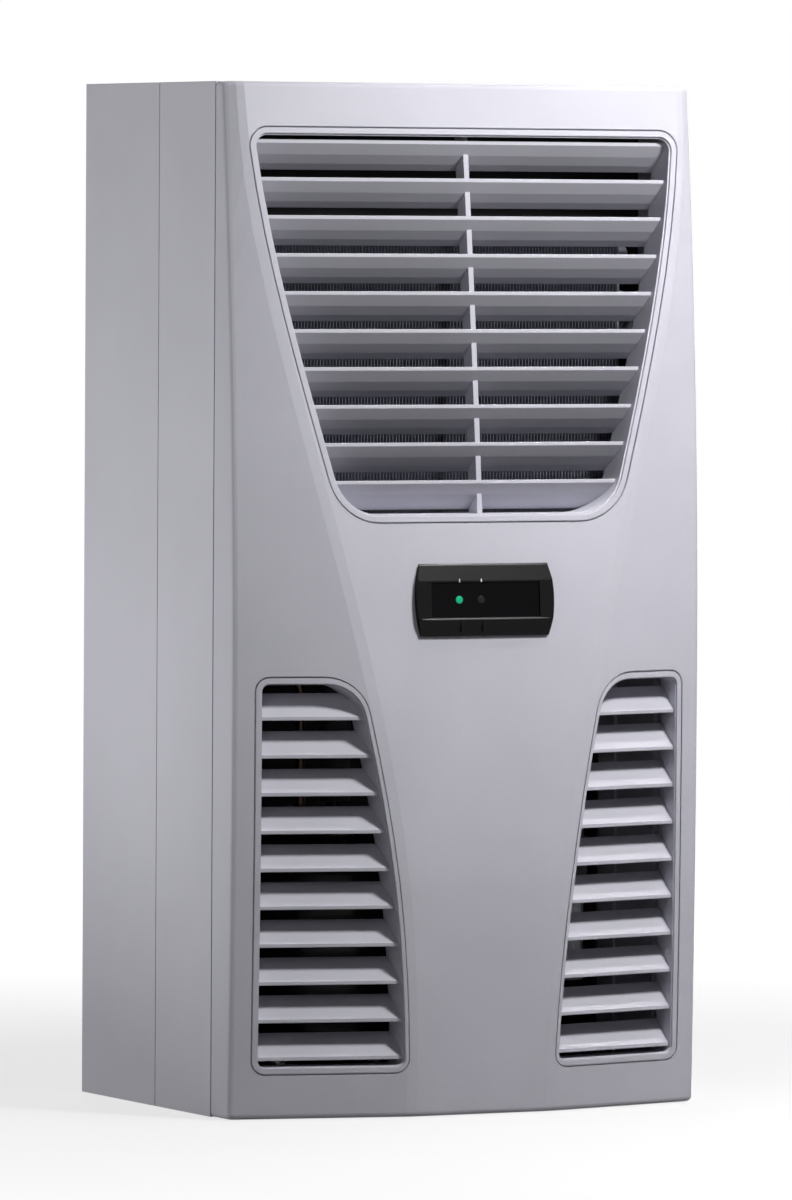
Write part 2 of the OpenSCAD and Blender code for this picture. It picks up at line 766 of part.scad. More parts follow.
// Curved slab under the middle panel's skin, between two set-backs
module panel_slab(back0, back1) {
    heights = [for (l = cover_levels(0, body_h)) if (l[1] == 0) l[0]];
    front = [for (z = heights) [back0 - seam_d - panel_depth(z), z]];
    rear = [for (z = heights) [back1 - seam_d - panel_depth(z), z]];
    rotate([90, 0, 90]) linear_extrude(height = body_w, center = true) polygon(concat(front, reversed(rear)));
}

module place() translate([0, 0, -body_h / 2]) children();

// Box given by its extents: sideways, in depth and in height
module slab(x0, x1, d0, d1, z0, z1) translate([x0, -d1, z0]) cube([x1 - x0, d1 - d0, z1 - z0]);

// Extrudes an outline drawn in the X-Z plane from depth d0 to depth d1
module prism(d0, d1) translate([0, -d0, 0]) rotate([90, 0, 0]) linear_extrude(height = d1 - d0) children();

// Round bar that points forward from depth d0 to depth d1
module bar(x, z, d0, d1, r) translate([x, -d0, z]) rotate([90, 0, 0]) cylinder(h = d1 - d0, r = r);

// Cutter for a hole through a wall of thickness h
module hole(h, r) translate([0, 0, -over]) cylinder(h = h + 2 * over, r = r);

// Upright round bar
module post(x, d, z0, z1, r) translate([x, -d, z0]) cylinder(h = z1 - z0, r = r);

// Sheet metal band that follows the housing's sides, between two set-backs
module band(out, inner, d0, d1) difference() {
    slab(-half_w + out, half_w - out, d0, d1, out, body_h - out);
    slab(-half_w + inner, half_w - inner, d0 - over, d1 + over, inner, body_h - inner);
}

// Rounded rectangle in the X-Z plane
module window(x0, x1, z0, z1, r) {
    translate([x0 + r, z0]) square([x1 - x0 - 2 * r, z1 - z0]);
    translate([x0, z0 + r]) square([x1 - x0, z1 - z0 - 2 * r]);
    for (x = [x0 + r, x1 - r]) for (z = [z0 + r, z1 - r]) translate([x, z]) circle(r = r);
}

module at_rivets() for (x = [-rivet_pitch, 0, rivet_pitch]) for (top = [0, 1])
    translate([x, -tray_d + lap_d / 2, top * body_h]) mirror([0, 0, top]) children();

module at_fixings() for (x = [fixing_x - half_w, half_w - fixing_x]) for (z = [fixing_z, body_h - fixing_z])
    translate([x, 0, z]) rotate([90, 0, 0]) children();

module rear_housing() color(paint) place() difference() {
    slab(-half_w, half_w, 0, tray_d, 0, body_h);
    slab(-half_w + skin, half_w - skin, gasket_t + skin, tray_d + over, skin, body_h - skin);
    slab(-plateau_half + skin, plateau_half - skin, skin, gasket_t + skin + over, plateau_z + skin, plateau_top - skin);
    difference() {
        slab(-half_w + skin, half_w - skin, -over, gasket_t, skin, body_h - skin);
        slab(-plateau_half, plateau_half, -2 * over, gasket_t + over, plateau_z, plateau_top);
    }
    bar(0, inlet_axis_z, -over, skin + over, inlet_r);
    prism(-over, skin + over) outlet_windows();
    bar(gland_axis_x, gland_axis_z, -over, skin + over, gland_sleeve_r + fit_gap);
    at_fixings() hole(skin, insert_r + pin_gap);
    post(drain_axis_x, drain_d, -over, skin + over, pocket_r);
    at_rivets() hole(skin, rivet_r);
}

module outlet_windows() {
    w = (2 * outlet_half - 2 * outlet_bar) / 3;
    for (i = [0 : 2]) let (x = -outlet_half + i * (w + outlet_bar))
        window(x, x + w, outlet_z, outlet_z + outlet_h, outlet_corner_r);
}

module middle_housing() color(paint) place() difference() {
    union() {
        band(0, skin, tray_d + joint_gap, seam_d);
        band(skin / 2, skin + flange_w, seam_d - skin, seam_d);
        band(skin + fit_gap, 2 * skin + fit_gap, tray_d - lap_d, tray_d + joint_gap + joggle_d);
        band(skin / 2, 2 * skin + fit_gap, tray_d + joint_gap, tray_d + joint_gap + joggle_d);
    }
    at_rivets() cylinder(h = 3 * skin, r = rivet_r);
}

module housing_rivets() color(paint) place() at_rivets() {
    cylinder(h = 2 * skin + fit_gap, r = rivet_r);
    translate([0, 0, 2 * skin + fit_gap]) cylinder(h = rivet_head_t, r1 = rivet_head_r, r2 = rivet_r);
}

module front_cover() color(paint) place() {
    difference() {
        cover_loft(0, 0, cover_back_d, 0, body_h);
        intersection() {
            cover_loft(wall, wall, seam_d - over, wall - edge_r, body_h - wall + edge_r);
            slab(-half_w, half_w, 0, body_w, wall, body_h - wall);
        }
        rebate() polygon(louvre_outline(0));
        prism(seam_d, body_w) polygon(louvre_outline(ledge_w));
        for (side = [0, 1]) mirror([side, 0, 0]) {
            rebate() polygon(vent_outline(0));
            prism(seam_d, body_w) polygon(vent_outline(ledge_w));
        }
        display_place() slab(-box_w / 2 - fit_gap, box_w / 2 + fit_gap, -2 * wall, bezel_proud, -box_h / 2 - fit_gap, box_h / 2 + fit_gap);
        at_cover_screws() {
            hole(wall, screw_r + fit_gap);
            translate([0, 0, -over]) cylinder(h = over + screw_head_t + fit_gap, r = screw_head_r + fit_gap);
        }
    }
    difference() {
        intersection() {
            cover_loft(wall / 2, wall / 2, cover_back_d, wall / 2, body_h - wall / 2);
            slab(-half_w, half_w, seam_d, body_w, air_rib_z, air_rib_z + rib_t);
        }
        slab(-riser_x - bend_r, -riser_x + bend_r, seam_d, seam_d + 2 * bend_r, air_rib_z - over, air_rib_z + rib_t + over);
    }
}

// Space in front of a rebate's floor, within an outline
module rebate() difference() {
    prism(seam_d, body_w) children();
    cover_loft(rebate_t, -over, seam_d - over, -over, body_h + over);
}

module at_cover_screws() for (x = [-screw_axis_x, screw_axis_x]) for (top = [0, 1])
    translate([x, -seam_d - screw_d, top * body_h]) mirror([0, 0, top]) children();

module cover_screws() color(galvanised) place() at_cover_screws() {
    translate([0, 0, fit_gap]) cylinder(h = screw_head_t, r = screw_head_r);
    translate([0, 0, fit_gap]) cylinder(h = screw_len, r = screw_r);
}

module cover_brackets() color(galvanised) place() for (x = [-screw_axis_x, screw_axis_x]) for (top = [0, 1])
    translate([0, 0, top * body_h]) mirror([0, 0, top]) difference() {
        union() {
            slab(x - bracket_w / 2, x + bracket_w / 2, seam_d, seam_d + skin, wall, wall + 2 * bracket_leg);
            slab(x - bracket_w / 2, x + bracket_w / 2, seam_d, seam_d + bracket_leg, wall, wall + skin);
        }
        post(x, seam_d + screw_d, 0, screw_len, screw_r + fit_gap / 2);
    }

module cover_seal() color(rubber_black) place() band(seam_gap, wall, seam_d, cover_back_d);

// Frame, collar and blades of the upper louvre
module upper_louvre() color(paint) place() {
    intersection() {
        panel_slab(0, frame_t);
        prism(seam_d, body_w) difference() {
            polygon(louvre_outline(groove_gap));
            polygon(louvre_outline(frame_w));
        }
    }
    intersection() {
        panel_slab(collar_step, collar_d);
        prism(seam_d - collar_d, body_w) difference() {
            polygon(louvre_outline(ledge_w + collar_gap));
            polygon(louvre_outline(ledge_w + collar_gap + collar_wall));
        }
    }
    intersection() {
        prism(seam_d - collar_d, body_w) polygon(louvre_outline(ledge_w + collar_gap + collar_wall / 2));
        union() {
            for (i = [0 : blade_count - 1]) let (z = blade_first_z - i * blade_pitch)
                translate([0, blade_back - seam_d - panel_depth(z), z]) upper_blade();
            intersection() {
                panel_slab(upright_back, collar_d);
                slab(upright_x - upright_t / 2, upright_x + upright_t / 2, 0, body_w, 0, body_h);
            }
        }
    }
}

module upper_blade() {
    under = [for (s = blade_shares) [blade_run * s[0], -blade_lip - blade_drop * s[1]]];
    upper = [for (s = blade_shares) [blade_run * s[0], -blade_drop * s[1]]];
    rotate([90, 0, 90]) linear_extrude(height = body_w, center = true) polygon(concat(under, reversed(upper)));
}

// Frame, collar and blades of the right side louvre
module side_louvre() {
    difference() {
        intersection() {
            cover_loft(0, 0, cover_back_d, 0, body_h);
            prism(seam_d, body_w) difference() {
                polygon(vent_outline(groove_gap));
                polygon(vent_outline(frame_w));
            }
        }
        cover_loft(frame_t, -over, seam_d - over, -over, body_h + over);
    }
    difference() {
        intersection() {
            cover_loft(collar_step, collar_step, seam_d, collar_step, body_h - collar_step);
            prism(seam_d, body_w) difference() {
                polygon(vent_outline(ledge_w + fit_gap));
                polygon(vent_outline(ledge_w + fit_gap + collar_wall));
            }
        }
        cover_loft(vent_collar_d, -over, -over, -over, body_h + over);
    }
    intersection() {
        prism(seam_d, body_w) polygon(vent_outline(ledge_w + fit_gap + collar_wall / 2));
        for (i = [0 : vent_blade_count - 1]) let (z = vent_first_z - i * blade_pitch)
            translate([half_w, vent_blade_back - seam_d - edge_depth(z), z]) rotate([0, 0, atan(facet_fall(z))]) side_blade();
    }
}

module side_blade() {
    points = [[0, 0], [vent_blade_run, vent_blade_rise], [vent_blade_run, vent_blade_rise + blade_lip], [0, blade_lip]];
    translate([-half_w, 0, 0]) rotate([90, 0, 90]) linear_extrude(height = half_w) polygon(points);
}

module right_louvre() color(paint) place() side_louvre();

module left_louvre() color(paint) place() mirror([1, 0, 0]) side_louvre();

module rear_gasket() color(rubber_black) place() difference() {
    slab(-half_w + skin + gasket_gap, half_w - skin - gasket_gap, 0, gasket_t, skin + gasket_gap, body_h - skin - gasket_gap);
    slab(-plateau_half - gasket_gap, plateau_half + gasket_gap, -over, gasket_t + over, plateau_z - gasket_gap, plateau_top + gasket_gap);
}

module mounting_inserts() color(galvanised) place() at_fixings() difference() {
    union() {
        cylinder(h = insert_len, r = insert_r);
        translate([0, 0, skin]) cylinder(h = collar_t, r = collar_r);
    }
    hole(insert_len, fixing_r);
}

module cable_gland() color(black_plastic) place() difference() {
    union() {
        bar(gland_axis_x, gland_axis_z, 0, gland_len, gland_sleeve_r);
        translate([gland_axis_x, -skin, gland_axis_z]) rotate([90, 0, 0]) cylinder(h = gland_nut_t, r = gland_nut_r, $fn = 6);
    }
    bar(gland_axis_x, gland_axis_z, -over, gland_len + over, gland_r);
}

// Holes for the cable and the pipes that cross between the two air circuits, widened by grow
module crossings(d0, d1, grow) {
    bar(gland_axis_x, gland_axis_z, d0, d1, cable_r + grow);
    bar(inlet_riser_x, suction_z, d0, d1, suction_r + grow);
    bar(-inlet_riser_x, capillary_z, d0, d1, capillary_r + grow);
}

module partition_grommets() color(rubber_black) place() difference() {
    union() {
        crossings(foam_d, plate_face_d + partition_t, pipe_gap);
        crossings(foam_d - partition_t, foam_d, 2 * pipe_gap);
    }
    crossings(foam_d - 2 * partition_t, plate_face_d + 2 * partition_t, fit_gap);
}

module partition() color(galvanised) place() difference() {
    slab(-inside_x, inside_x, partition_d, plate_face_d + partition_flange, skin + fit_gap, body_h - skin - fit_gap);
    slab(-inside_x + partition_t, inside_x - partition_t, plate_face_d, plate_face_d + partition_flange + over,
        skin + fit_gap + partition_t, body_h - skin - fit_gap - partition_t);
    crossings(partition_d - over, plate_face_d + over, pipe_gap);
}

module partition_foam() color(foam_grey) place() difference() {
    slab(-inside_x + foam_margin, inside_x - foam_margin, foam_d, partition_d, skin + foam_margin, body_h - skin - foam_margin);
    crossings(foam_d - over, partition_d + over, pipe_gap);
    bar(0, inlet_axis_z, foam_d - over, partition_d + over, motor_flange_r + pipe_gap);
}

module inlet_guard() color(black_plastic) place() translate([0, -skin, inlet_axis_z]) rotate([90, 0, 0]) {
    difference() {
        cylinder(h = guard_t, r = inlet_r + guard_rim);
        hole(guard_t, inlet_r - wire_r);
    }
    for (i = [1 : rings]) difference() {
        cylinder(h = guard_t - wire_r / 2, r = i * ring_pitch + wire_r);
        hole(guard_t, i * ring_pitch - wire_r);
    }
    for (a = [0 : 60 : 120]) rotate([0, 0, a]) translate([-inlet_r, -wire_r, 0]) cube([2 * inlet_r, 2 * wire_r, guard_t]);
    cylinder(h = guard_t, r = 5 * wire_r);
}

module inlet_nozzle() color(galvanised) place() translate([0, -skin - guard_t, inlet_axis_z]) rotate([90, 0, 0]) {
    bell = inlet_r - throat_r;
    drop = throat_d - skin - guard_t;
    outer = [for (i = [0 : arc_steps]) let (a = 90 * i / arc_steps) [throat_r + bell * (1 - sin(a)), drop * (1 - cos(a))]];
    inner = [for (i = [0 : arc_steps]) let (a = 90 * i / arc_steps) [throat_r - nozzle_t + bell * (1 - sin(a)), drop * (1 - cos(a))]];
    rotate_extrude() polygon(concat(outer, reversed(inner)));
    difference() {
        cylinder(h = nozzle_t, r = inlet_r + guard_rim);
        hole(nozzle_t, inlet_r - nozzle_t / 2);
    }
}

module evaporator_fan_motor() color(galvanised) place() {
    bar(0, inlet_axis_z, partition_d - motor_flange_t, partition_d, motor_flange_r);
    bar(0, inlet_axis_z, impeller_back_d + air_gap, partition_d - motor_flange_t / 2, stem_r);
    bar(0, inlet_axis_z, impeller_back_d + air_gap - pin_len, partition_d - motor_flange_t, pin_r);
}

module evaporator_fan_rotor() color(black_plastic) place() difference() {
    union() {
        bar(0, inlet_axis_z, impeller_back_d - disc_t, impeller_back_d, impeller_r);
        bar(0, inlet_axis_z, impeller_back_d - can_len, impeller_back_d, can_r);
        bar(0, inlet_axis_z, impeller_front_d, impeller_front_d + disc_t, impeller_r);
        translate([0, -impeller_front_d, inlet_axis_z]) rotate([90, 0, 0]) intersection() {
            difference() {
                cylinder(h = impeller_back_d - impeller_front_d, r = impeller_r - disc_t / 2);
                translate([0, 0, -over]) cylinder(h = impeller_back_d, r = vane_r);
            }
            for (i = [0 : vanes - 1]) rotate([0, 0, i * 360 / vanes]) translate([vane_r, 0, 0])
                rotate([0, 0, -vane_sweep]) translate([-vane_r, -vane_t / 2, 0])
                    cube([impeller_r + vane_r, vane_t, impeller_back_d - impeller_front_d]);
        }
    }
    bar(0, inlet_axis_z, impeller_back_d + air_gap - pin_len - air_gap, impeller_back_d + over, pin_r + pin_gap);
    bar(0, inlet_axis_z, impeller_front_d - over, throat_d + air_gap, eye_r);
}

// Fins of a coil between its end plates
module fins(d0, d1, z0, z1) for (i = [0 : fin_spaces]) let (x = -coil_half + fin_t + (2 * coil_half - 2 * fin_t) * i / fin_spaces)
    slab(x - fin_t / 2, x + fin_t / 2, d0, d1, z0, z1);

// Straight tube across a coil
module cross_tube(d, z) translate([-coil_end, -d, z]) rotate([0, 90, 0]) cylinder(h = 2 * coil_end, r = coil_tube_r, $fn = 24);

// Return bend on the right of a coil, between the tubes at z and at z plus the pitch
module return_bend(d, z, pitch) translate([coil_end, -d, z + pitch / 2]) rotate([90, 0, 0])
    rotate([0, 0, -90]) rotate_extrude(angle = 180, $fn = 48) translate([pitch / 2, 0]) circle(r = coil_tube_r, $fn = 24);

module evaporator_fins() color(fin_metal) place() fins(evap_fin_d, evap_fin_d + evap_depth, evap_foot_z, evap_foot_z + evap_h);

module evaporator_tubes() color(copper) place() {
    for (i = [0 : 2]) let (d = evap_tube0_d + i * evap_tube_d) {
        for (k = [0 : 2]) cross_tube(d, evap_tube0_z + k * evap_tube_z);
        return_bend(d, evap_tube0_z, evap_tube_z);
        mirror([1, 0, 0]) return_bend(d, evap_tube0_z + evap_tube_z, evap_tube_z);
    }
    depth_bend(evap_tube0_d, evap_tube0_z + 2 * evap_tube_z, evap_tube_d);
    mirror([1, 0, 0]) depth_bend(evap_tube0_d + evap_tube_d, evap_tube0_z, evap_tube_d);
}

// Return bend on the right of a coil, between two tubes at the same height
module depth_bend(d, z, pitch) translate([coil_end, -d - pitch / 2, z])
    rotate([0, 0, -90]) rotate_extrude(angle = 180, $fn = 48) translate([pitch / 2, 0]) circle(r = coil_tube_r, $fn = 24);

module evaporator_end_plates() color(galvanised) place() for (side = [0, 1]) mirror([side, 0, 0]) difference() {
    slab(coil_half, coil_end, skin + fit_gap, foam_d - fit_gap, evap_foot_z - fit_gap, evap_foot_z + evap_h + fit_gap);
    for (i = [0 : 2]) for (k = [0 : 2])
        translate([coil_half - over, -evap_tube0_d - i * evap_tube_d, evap_tube0_z + k * evap_tube_z])
            rotate([0, 90, 0]) cylinder(h = end_plate_t + 2 * over, r = coil_tube_r + pin_gap, $fn = 24);
}

module drain_tray() color(black_plastic) place() difference() {
    union() {
        difference() {
            slab(-sump_half, sump_half, sump_d, sump_d + sump_depth, sump_floor_z, sump_floor_z + sump_h);
            slab(-sump_half + sump_t, sump_half - sump_t, sump_d + sump_t, sump_d + sump_depth - sump_t, sump_floor_z + sump_t, sump_floor_z + sump_h + over);
        }
        tray_slots(sump_t, sump_floor_z, sump_floor_z + slot_rim);
        slab(-inside_x, inside_x, drain_d, drain_d + slot_depth, sump_floor_z, sump_floor_z + sump_t);
        for (side = [0, 1]) mirror([side, 0, 0])
            slab(coil_half, coil_end, drain_d, drain_d + slot_depth, sump_floor_z, evap_foot_z - fit_gap);
        post(drain_axis_x, drain_d, sump_floor_z - spigot_len, sump_floor_z + sump_t, spigot_r);
    }
    tray_slots(0, sump_floor_z - over, sump_floor_z + slot_rim + over);
    post(drain_axis_x, drain_d, sump_floor_z - spigot_len - over, sump_floor_z + sump_t + over, spout_bore_r);
}

// Air slots through the condensate tray, widened by grow
module tray_slots(grow, z0, z1) {
    slab(sump_t - coil_half - grow, -outlet_bar + grow, sump_d + 2 * sump_t - grow, sump_d + 2 * sump_t + slot_depth + grow, z0, z1);
    slab(outlet_bar - grow, drain_axis_x - 2 * spigot_r + grow, sump_d + 2 * sump_t - grow, sump_d + 2 * sump_t + slot_depth + grow, z0, z1);
}

module drain_hose() color(rubber_black) place() difference() {
    post(drain_axis_x, drain_d, spout_top_z() + over, sump_floor_z - over, hose_r);
    post(drain_axis_x, drain_d, spout_top_z(), sump_floor_z, spigot_r + fit_gap);
}

function spout_top_z() = spout_tip + spout_len + pocket_t;

module drain_spout() color(black_plastic) place() difference() {
    union() {
        difference() {
            post(drain_axis_x, drain_d, skin, spout_top_z(), pocket_r + pocket_t);
            post(drain_axis_x, drain_d, 0, spout_top_z() - pocket_t, pocket_r);
        }
        post(drain_axis_x, drain_d, spout_tip, spout_top_z(), spout_r);
        post(drain_axis_x, drain_d, spout_top_z() - pocket_t, spout_top_z() + spigot_len, spigot_r);
    }
    post(drain_axis_x, drain_d, 0, spout_top_z() + spigot_len + over, spout_bore_r);
}

module fan_shroud() color(galvanised) place() difference() {
    union() {
        slab(-inside_x, inside_x, shroud_d, shroud_d + skin, air_rib_z, body_h - skin - fit_gap);
        slab(-inside_x, inside_x, shroud_d, seam_d - skin - fit_gap, air_rib_z, air_rib_z + rib_t);
        slab(-coil_end, coil_end, shroud_d, cond_front_d, cond_z + cond_h + fit_gap, cond_z + cond_h + fit_gap + skin);
    }
    bar(0, fan_axis_z, shroud_d - over, shroud_d + skin + over, bore_r);
    at_fan_screws() hole(frame_depth + skin, rivet_r + fit_gap);
    slab(-riser_x - bend_r, -riser_x + bend_r, cond_tube0_d - bend_r, seam_d, air_rib_z - over, air_rib_z + rib_t + over);
}

module at_fan_screws() for (x = [-fan_screw_x, fan_screw_x]) for (z = [-fan_screw_x, fan_screw_x])
    translate([x, -frame_back_d, fan_axis_z + z]) rotate([90, 0, 0]) children();

module condenser_fan_frame() color(black_plastic) place() {
    difference() {
        slab(-frame_half, frame_half, frame_back_d, shroud_d, fan_axis_z - frame_half, fan_axis_z + frame_half);
        bar(0, fan_axis_z, frame_back_d - over, shroud_d + over, bore_r);
        at_fan_screws() hole(frame_depth, rivet_r + fit_gap);
    }
    intersection() {
        for (a = [45, 135]) translate([0, -frame_back_d, fan_axis_z]) rotate([90, a, 0])
            translate([-frame_half, -arm_w / 2, 0]) cube([2 * frame_half, arm_w, arm_t]);
        bar(0, fan_axis_z, frame_back_d, frame_back_d + arm_t, bore_r + over);
    }
    bar(0, fan_axis_z, frame_back_d, frame_back_d + arm_t, hub_r);
    bar(0, fan_axis_z, frame_back_d, frame_back_d + arm_t + hub_d, pin_r);
}

module condenser_fan_rotor() color(black_plastic) place() translate([0, -frame_back_d - arm_t - air_gap, fan_axis_z]) rotate([90, 0, 0]) {
    difference() {
        cylinder(h = hub_d, r = hub_r);
        translate([0, 0, -over]) cylinder(h = hub_d - air_gap + over + air_gap / 2, r = pin_r + pin_gap);
    }
    intersection() {
        difference() {
            cylinder(h = hub_d, r = rotor_r);
            hole(hub_d, hub_r - over);
        }
        for (i = [0 : rotor_blades - 1]) rotate([0, 0, i * 360 / rotor_blades]) translate([0, 0, hub_d / 2])
            rotate([rotor_pitch, 0, 0]) translate([0, -hub_r / 2, -rotor_blade_t / 2]) cube([rotor_r, hub_r, rotor_blade_t]);
    }
}

module fan_screws() color(galvanised) place() at_fan_screws() {
    cylinder(h = frame_depth + 3 * skin, r = rivet_r);
    translate([0, 0, -rivet_head_t]) cylinder(h = rivet_head_t, r = rivet_head_r);
}

module condenser_fins() color(fin_metal) place() fins(cond_front_d - cond_depth, cond_front_d, cond_z, cond_z + cond_h);

module condenser_tubes() color(copper) place() {
    z0 = cond_z + cond_tube_z0;
    for (i = [0, 1]) let (d = cond_tube0_d + i * cond_tube_d) {
        for (k = [0 : cond_tubes - 1]) cross_tube(d, z0 + k * cond_tube_z);
        for (k = [0 : 2 : cond_tubes - 2]) return_bend(d, z0 + k * cond_tube_z, cond_tube_z);
        for (k = [1 : 2 : cond_tubes - 2]) mirror([1, 0, 0]) return_bend(d, z0 + k * cond_tube_z, cond_tube_z);
    }
    depth_bend(cond_tube0_d, z0 + (cond_tubes - 1) * cond_tube_z, cond_tube_d);
}

module condenser_end_plates() color(galvanised) place() for (side = [0, 1]) mirror([side, 0, 0]) difference() {
    slab(coil_half, coil_end, shroud_d + skin, cond_front_d, cond_z, cond_z + cond_h);
    for (i = [0, 1]) for (k = [0 : cond_tubes - 1])
        translate([coil_half - over, -cond_tube0_d - i * cond_tube_d, cond_z + cond_tube_z0 + k * cond_tube_z])
            rotate([0, 90, 0]) cylinder(h = end_plate_t + 2 * over, r = coil_tube_r + pin_gap, $fn = 24);
}

module at_feet() for (x = [-foot_x, foot_x]) for (d = [-foot_d, foot_d])
    translate([comp_axis_x + x / 2, -comp_d + d / 2, 0]) children();

module base_plate() color(galvanised) place() {
    x0 = comp_axis_x - foot_x / 2 - 2 * foot_margin;
    x1 = comp_axis_x + foot_x / 2 + 2 * foot_margin;
    d0 = comp_d - foot_d / 2 - foot_margin;
    d1 = comp_d + foot_d / 2 + foot_margin;
    slab(x0, x1, d0, d1 - fit_gap, base_z, base_z + base_t);
    slab(x0, x1, d0, d0 + base_t, skin, base_z + base_t);
    slab(x0, x1, d1 - base_t - fit_gap, d1 - fit_gap, skin, base_z + base_t);
}

module compressor_rubber_feet() color(rubber_black) place() at_feet() difference() {
    union() {
        for (z = [base_z + base_t, foot_z - grommet_h / 3]) translate([0, 0, z]) cylinder(h = grommet_h / 3, r = grommet_r);
        translate([0, 0, base_z + base_t]) cylinder(h = grommet_h, r = grommet_waist_r);
    }
    translate([0, 0, base_z]) cylinder(h = grommet_h + 2 * base_t, r = bolt_r + fit_gap);
}

module compressor_bolts() color(galvanised) place() at_feet() {
    translate([0, 0, base_z + base_t]) cylinder(h = grommet_h + foot_t + 2 * nut_t, r = bolt_r);
    translate([0, 0, shell_z]) cylinder(h = nut_t, r = nut_r, $fn = 6);
}

module compressor_foot_plate() color(shell_black) place() difference() {
    prism_z(foot_z, foot_z + foot_t) window(comp_axis_x - foot_x / 2 - foot_margin, comp_axis_x + foot_x / 2 + foot_margin,
        comp_d - foot_d / 2 - foot_margin, comp_d + foot_d / 2 + foot_margin, foot_margin);
    at_feet() translate([0, 0, foot_z - over]) cylinder(h = foot_t + 2 * over, r = bolt_r + fit_gap);
}

// Extrudes an outline drawn as sideways position and depth from height z0 to height z1
module prism_z(z0, z1) translate([0, 0, z0]) mirror([0, 1, 0]) linear_extrude(height = z1 - z0) children();

module compressor_shell() color(shell_black) place() {
    top = shell_h - dome_h;
    bulge = shell_r - dome_flat_r;
    dome = [for (i = [0 : arc_steps]) let (a = 90 * i / arc_steps) [dome_flat_r + bulge * cos(a), dome_h * sin(a)]];
    bowl = [for (p = reversed(dome)) [p[0], dome_h - p[1]]];
    upper = [for (p = dome) [p[0], top + p[1]]];
    translate([comp_axis_x, -comp_d, shell_z]) {
        rotate_extrude() polygon(concat([[0, 0]], bowl, upper, [[0, shell_h]]));
        translate([0, 0, shell_h / 2]) cylinder(h = bead_h, r = shell_r + bead_out);
    }
    post(suction_stub_x, suction_drop_d, shell_z + shell_h - dome_h, stub_top_z, suction_r + pipe_gap / 2);
    post(discharge_stub_x, comp_d, shell_z + shell_h - dome_h, stub_top_z, pipe_r + pipe_gap / 2);
}

module compressor_terminal_cover() color(black_plastic) place() difference() {
    slab(comp_axis_x + shell_r - cap_out / 2, comp_axis_x + shell_r + cap_out, comp_d - cap_half, comp_d + cap_half,
        shell_z + dome_h, shell_z + dome_h + cap_h);
    post(comp_axis_x, comp_d, 0, body_h, shell_r + bead_out);
}

function sub(p, q) = [p[0] - q[0], p[1] - q[1], p[2] - q[2]];
function unit(v) = v / norm(v);

// Angles that turn the axes so that X points along a, Y along b and Z along their cross product
function turn(a, b) = let (c = cross(a, b))
    abs(a[2]) < 0.5 ? [atan2(b[2], c[2]), -asin(a[2]), atan2(a[1], a[0])]
    : a[2] < 0 ? [atan2(b[0], c[0]), 90, 0] : [atan2(-b[0], -c[0]), -90, 0];

// Pipe along points given as sideways position, depth and height, with square turns of radius bend
module pipe(route, r, bend) {
    p = [for (q = route) [q[0], -q[1], q[2]]];
    last = len(p) - 1;
    for (i = [0 : last - 1]) let (
        u = unit(sub(p[i + 1], p[i])),
        start = p[i] + u * (i == 0 ? 0 : bend),
        end = p[i + 1] - u * (i == last - 1 ? 0 : bend))
        translate(start) rotate([0, acos(u[2]), atan2(u[1], u[0])]) cylinder(h = norm(end - start), r = r, $fn = 24);
    for (i = [1 : 1 : last - 1]) let (
        u = unit(sub(p[i], p[i - 1])),
        v = unit(sub(p[i + 1], p[i])))
        translate(p[i] + (v - u) * bend) rotate(turn(-v, u))
            rotate_extrude(angle = 90, $fn = 32) translate([bend, 0]) circle(r = r, $fn = 24);
}

module suction_pipe() color(copper) place() pipe([
    [coil_end, evap_tube0_d + 2 * evap_tube_d, evap_tube0_z + 2 * evap_tube_z],
    [inlet_riser_x, evap_tube0_d + 2 * evap_tube_d, evap_tube0_z + 2 * evap_tube_z],
    [inlet_riser_x, evap_tube0_d + 2 * evap_tube_d, suction_z],
    [inlet_riser_x, suction_drop_d, suction_z],
    [suction_stub_x, suction_drop_d, suction_z],
    [suction_stub_x, suction_drop_d, stub_top_z]], suction_r, bend_r);

// Foam sleeve on the suction pipe, from the controls plate to the compressor
module pipe_insulation() color(foam_grey) place() difference() {
    pipe(suction_sleeve, suction_r + fit_gap + sleeve_t, bend_r);
    pipe(suction_sleeve, suction_r + fit_gap, bend_r);
}

module discharge_pipe() color(copper) place() pipe([
    [discharge_stub_x, comp_d, stub_top_z],
    [discharge_stub_x, comp_d, discharge_z],
    [-riser_x, comp_d, discharge_z],
    [-riser_x, cond_tube0_d, discharge_z],
    [-riser_x, cond_tube0_d, cond_z + cond_tube_z0],
    [-coil_end, cond_tube0_d, cond_z + cond_tube_z0]], pipe_r, bend_r);

module liquid_pipe() color(copper) place() pipe([
    [-coil_end, cond_tube0_d + cond_tube_d, cond_z + cond_tube_z0],
    [-riser_x, cond_tube0_d + cond_tube_d, cond_z + cond_tube_z0],
    [-riser_x, cond_tube0_d + cond_tube_d, drier_top_z]], pipe_r, bend_r);

module filter_drier() color(copper) place() translate([-riser_x, -cond_tube0_d - cond_tube_d, drier_top_z - drier_len])
    rotate_extrude($fn = 48) polygon([[0, 0], [pipe_r, 0], [drier_r, drier_neck], [drier_r, drier_len - drier_neck],
        [pipe_r, drier_len], [0, drier_len]]);

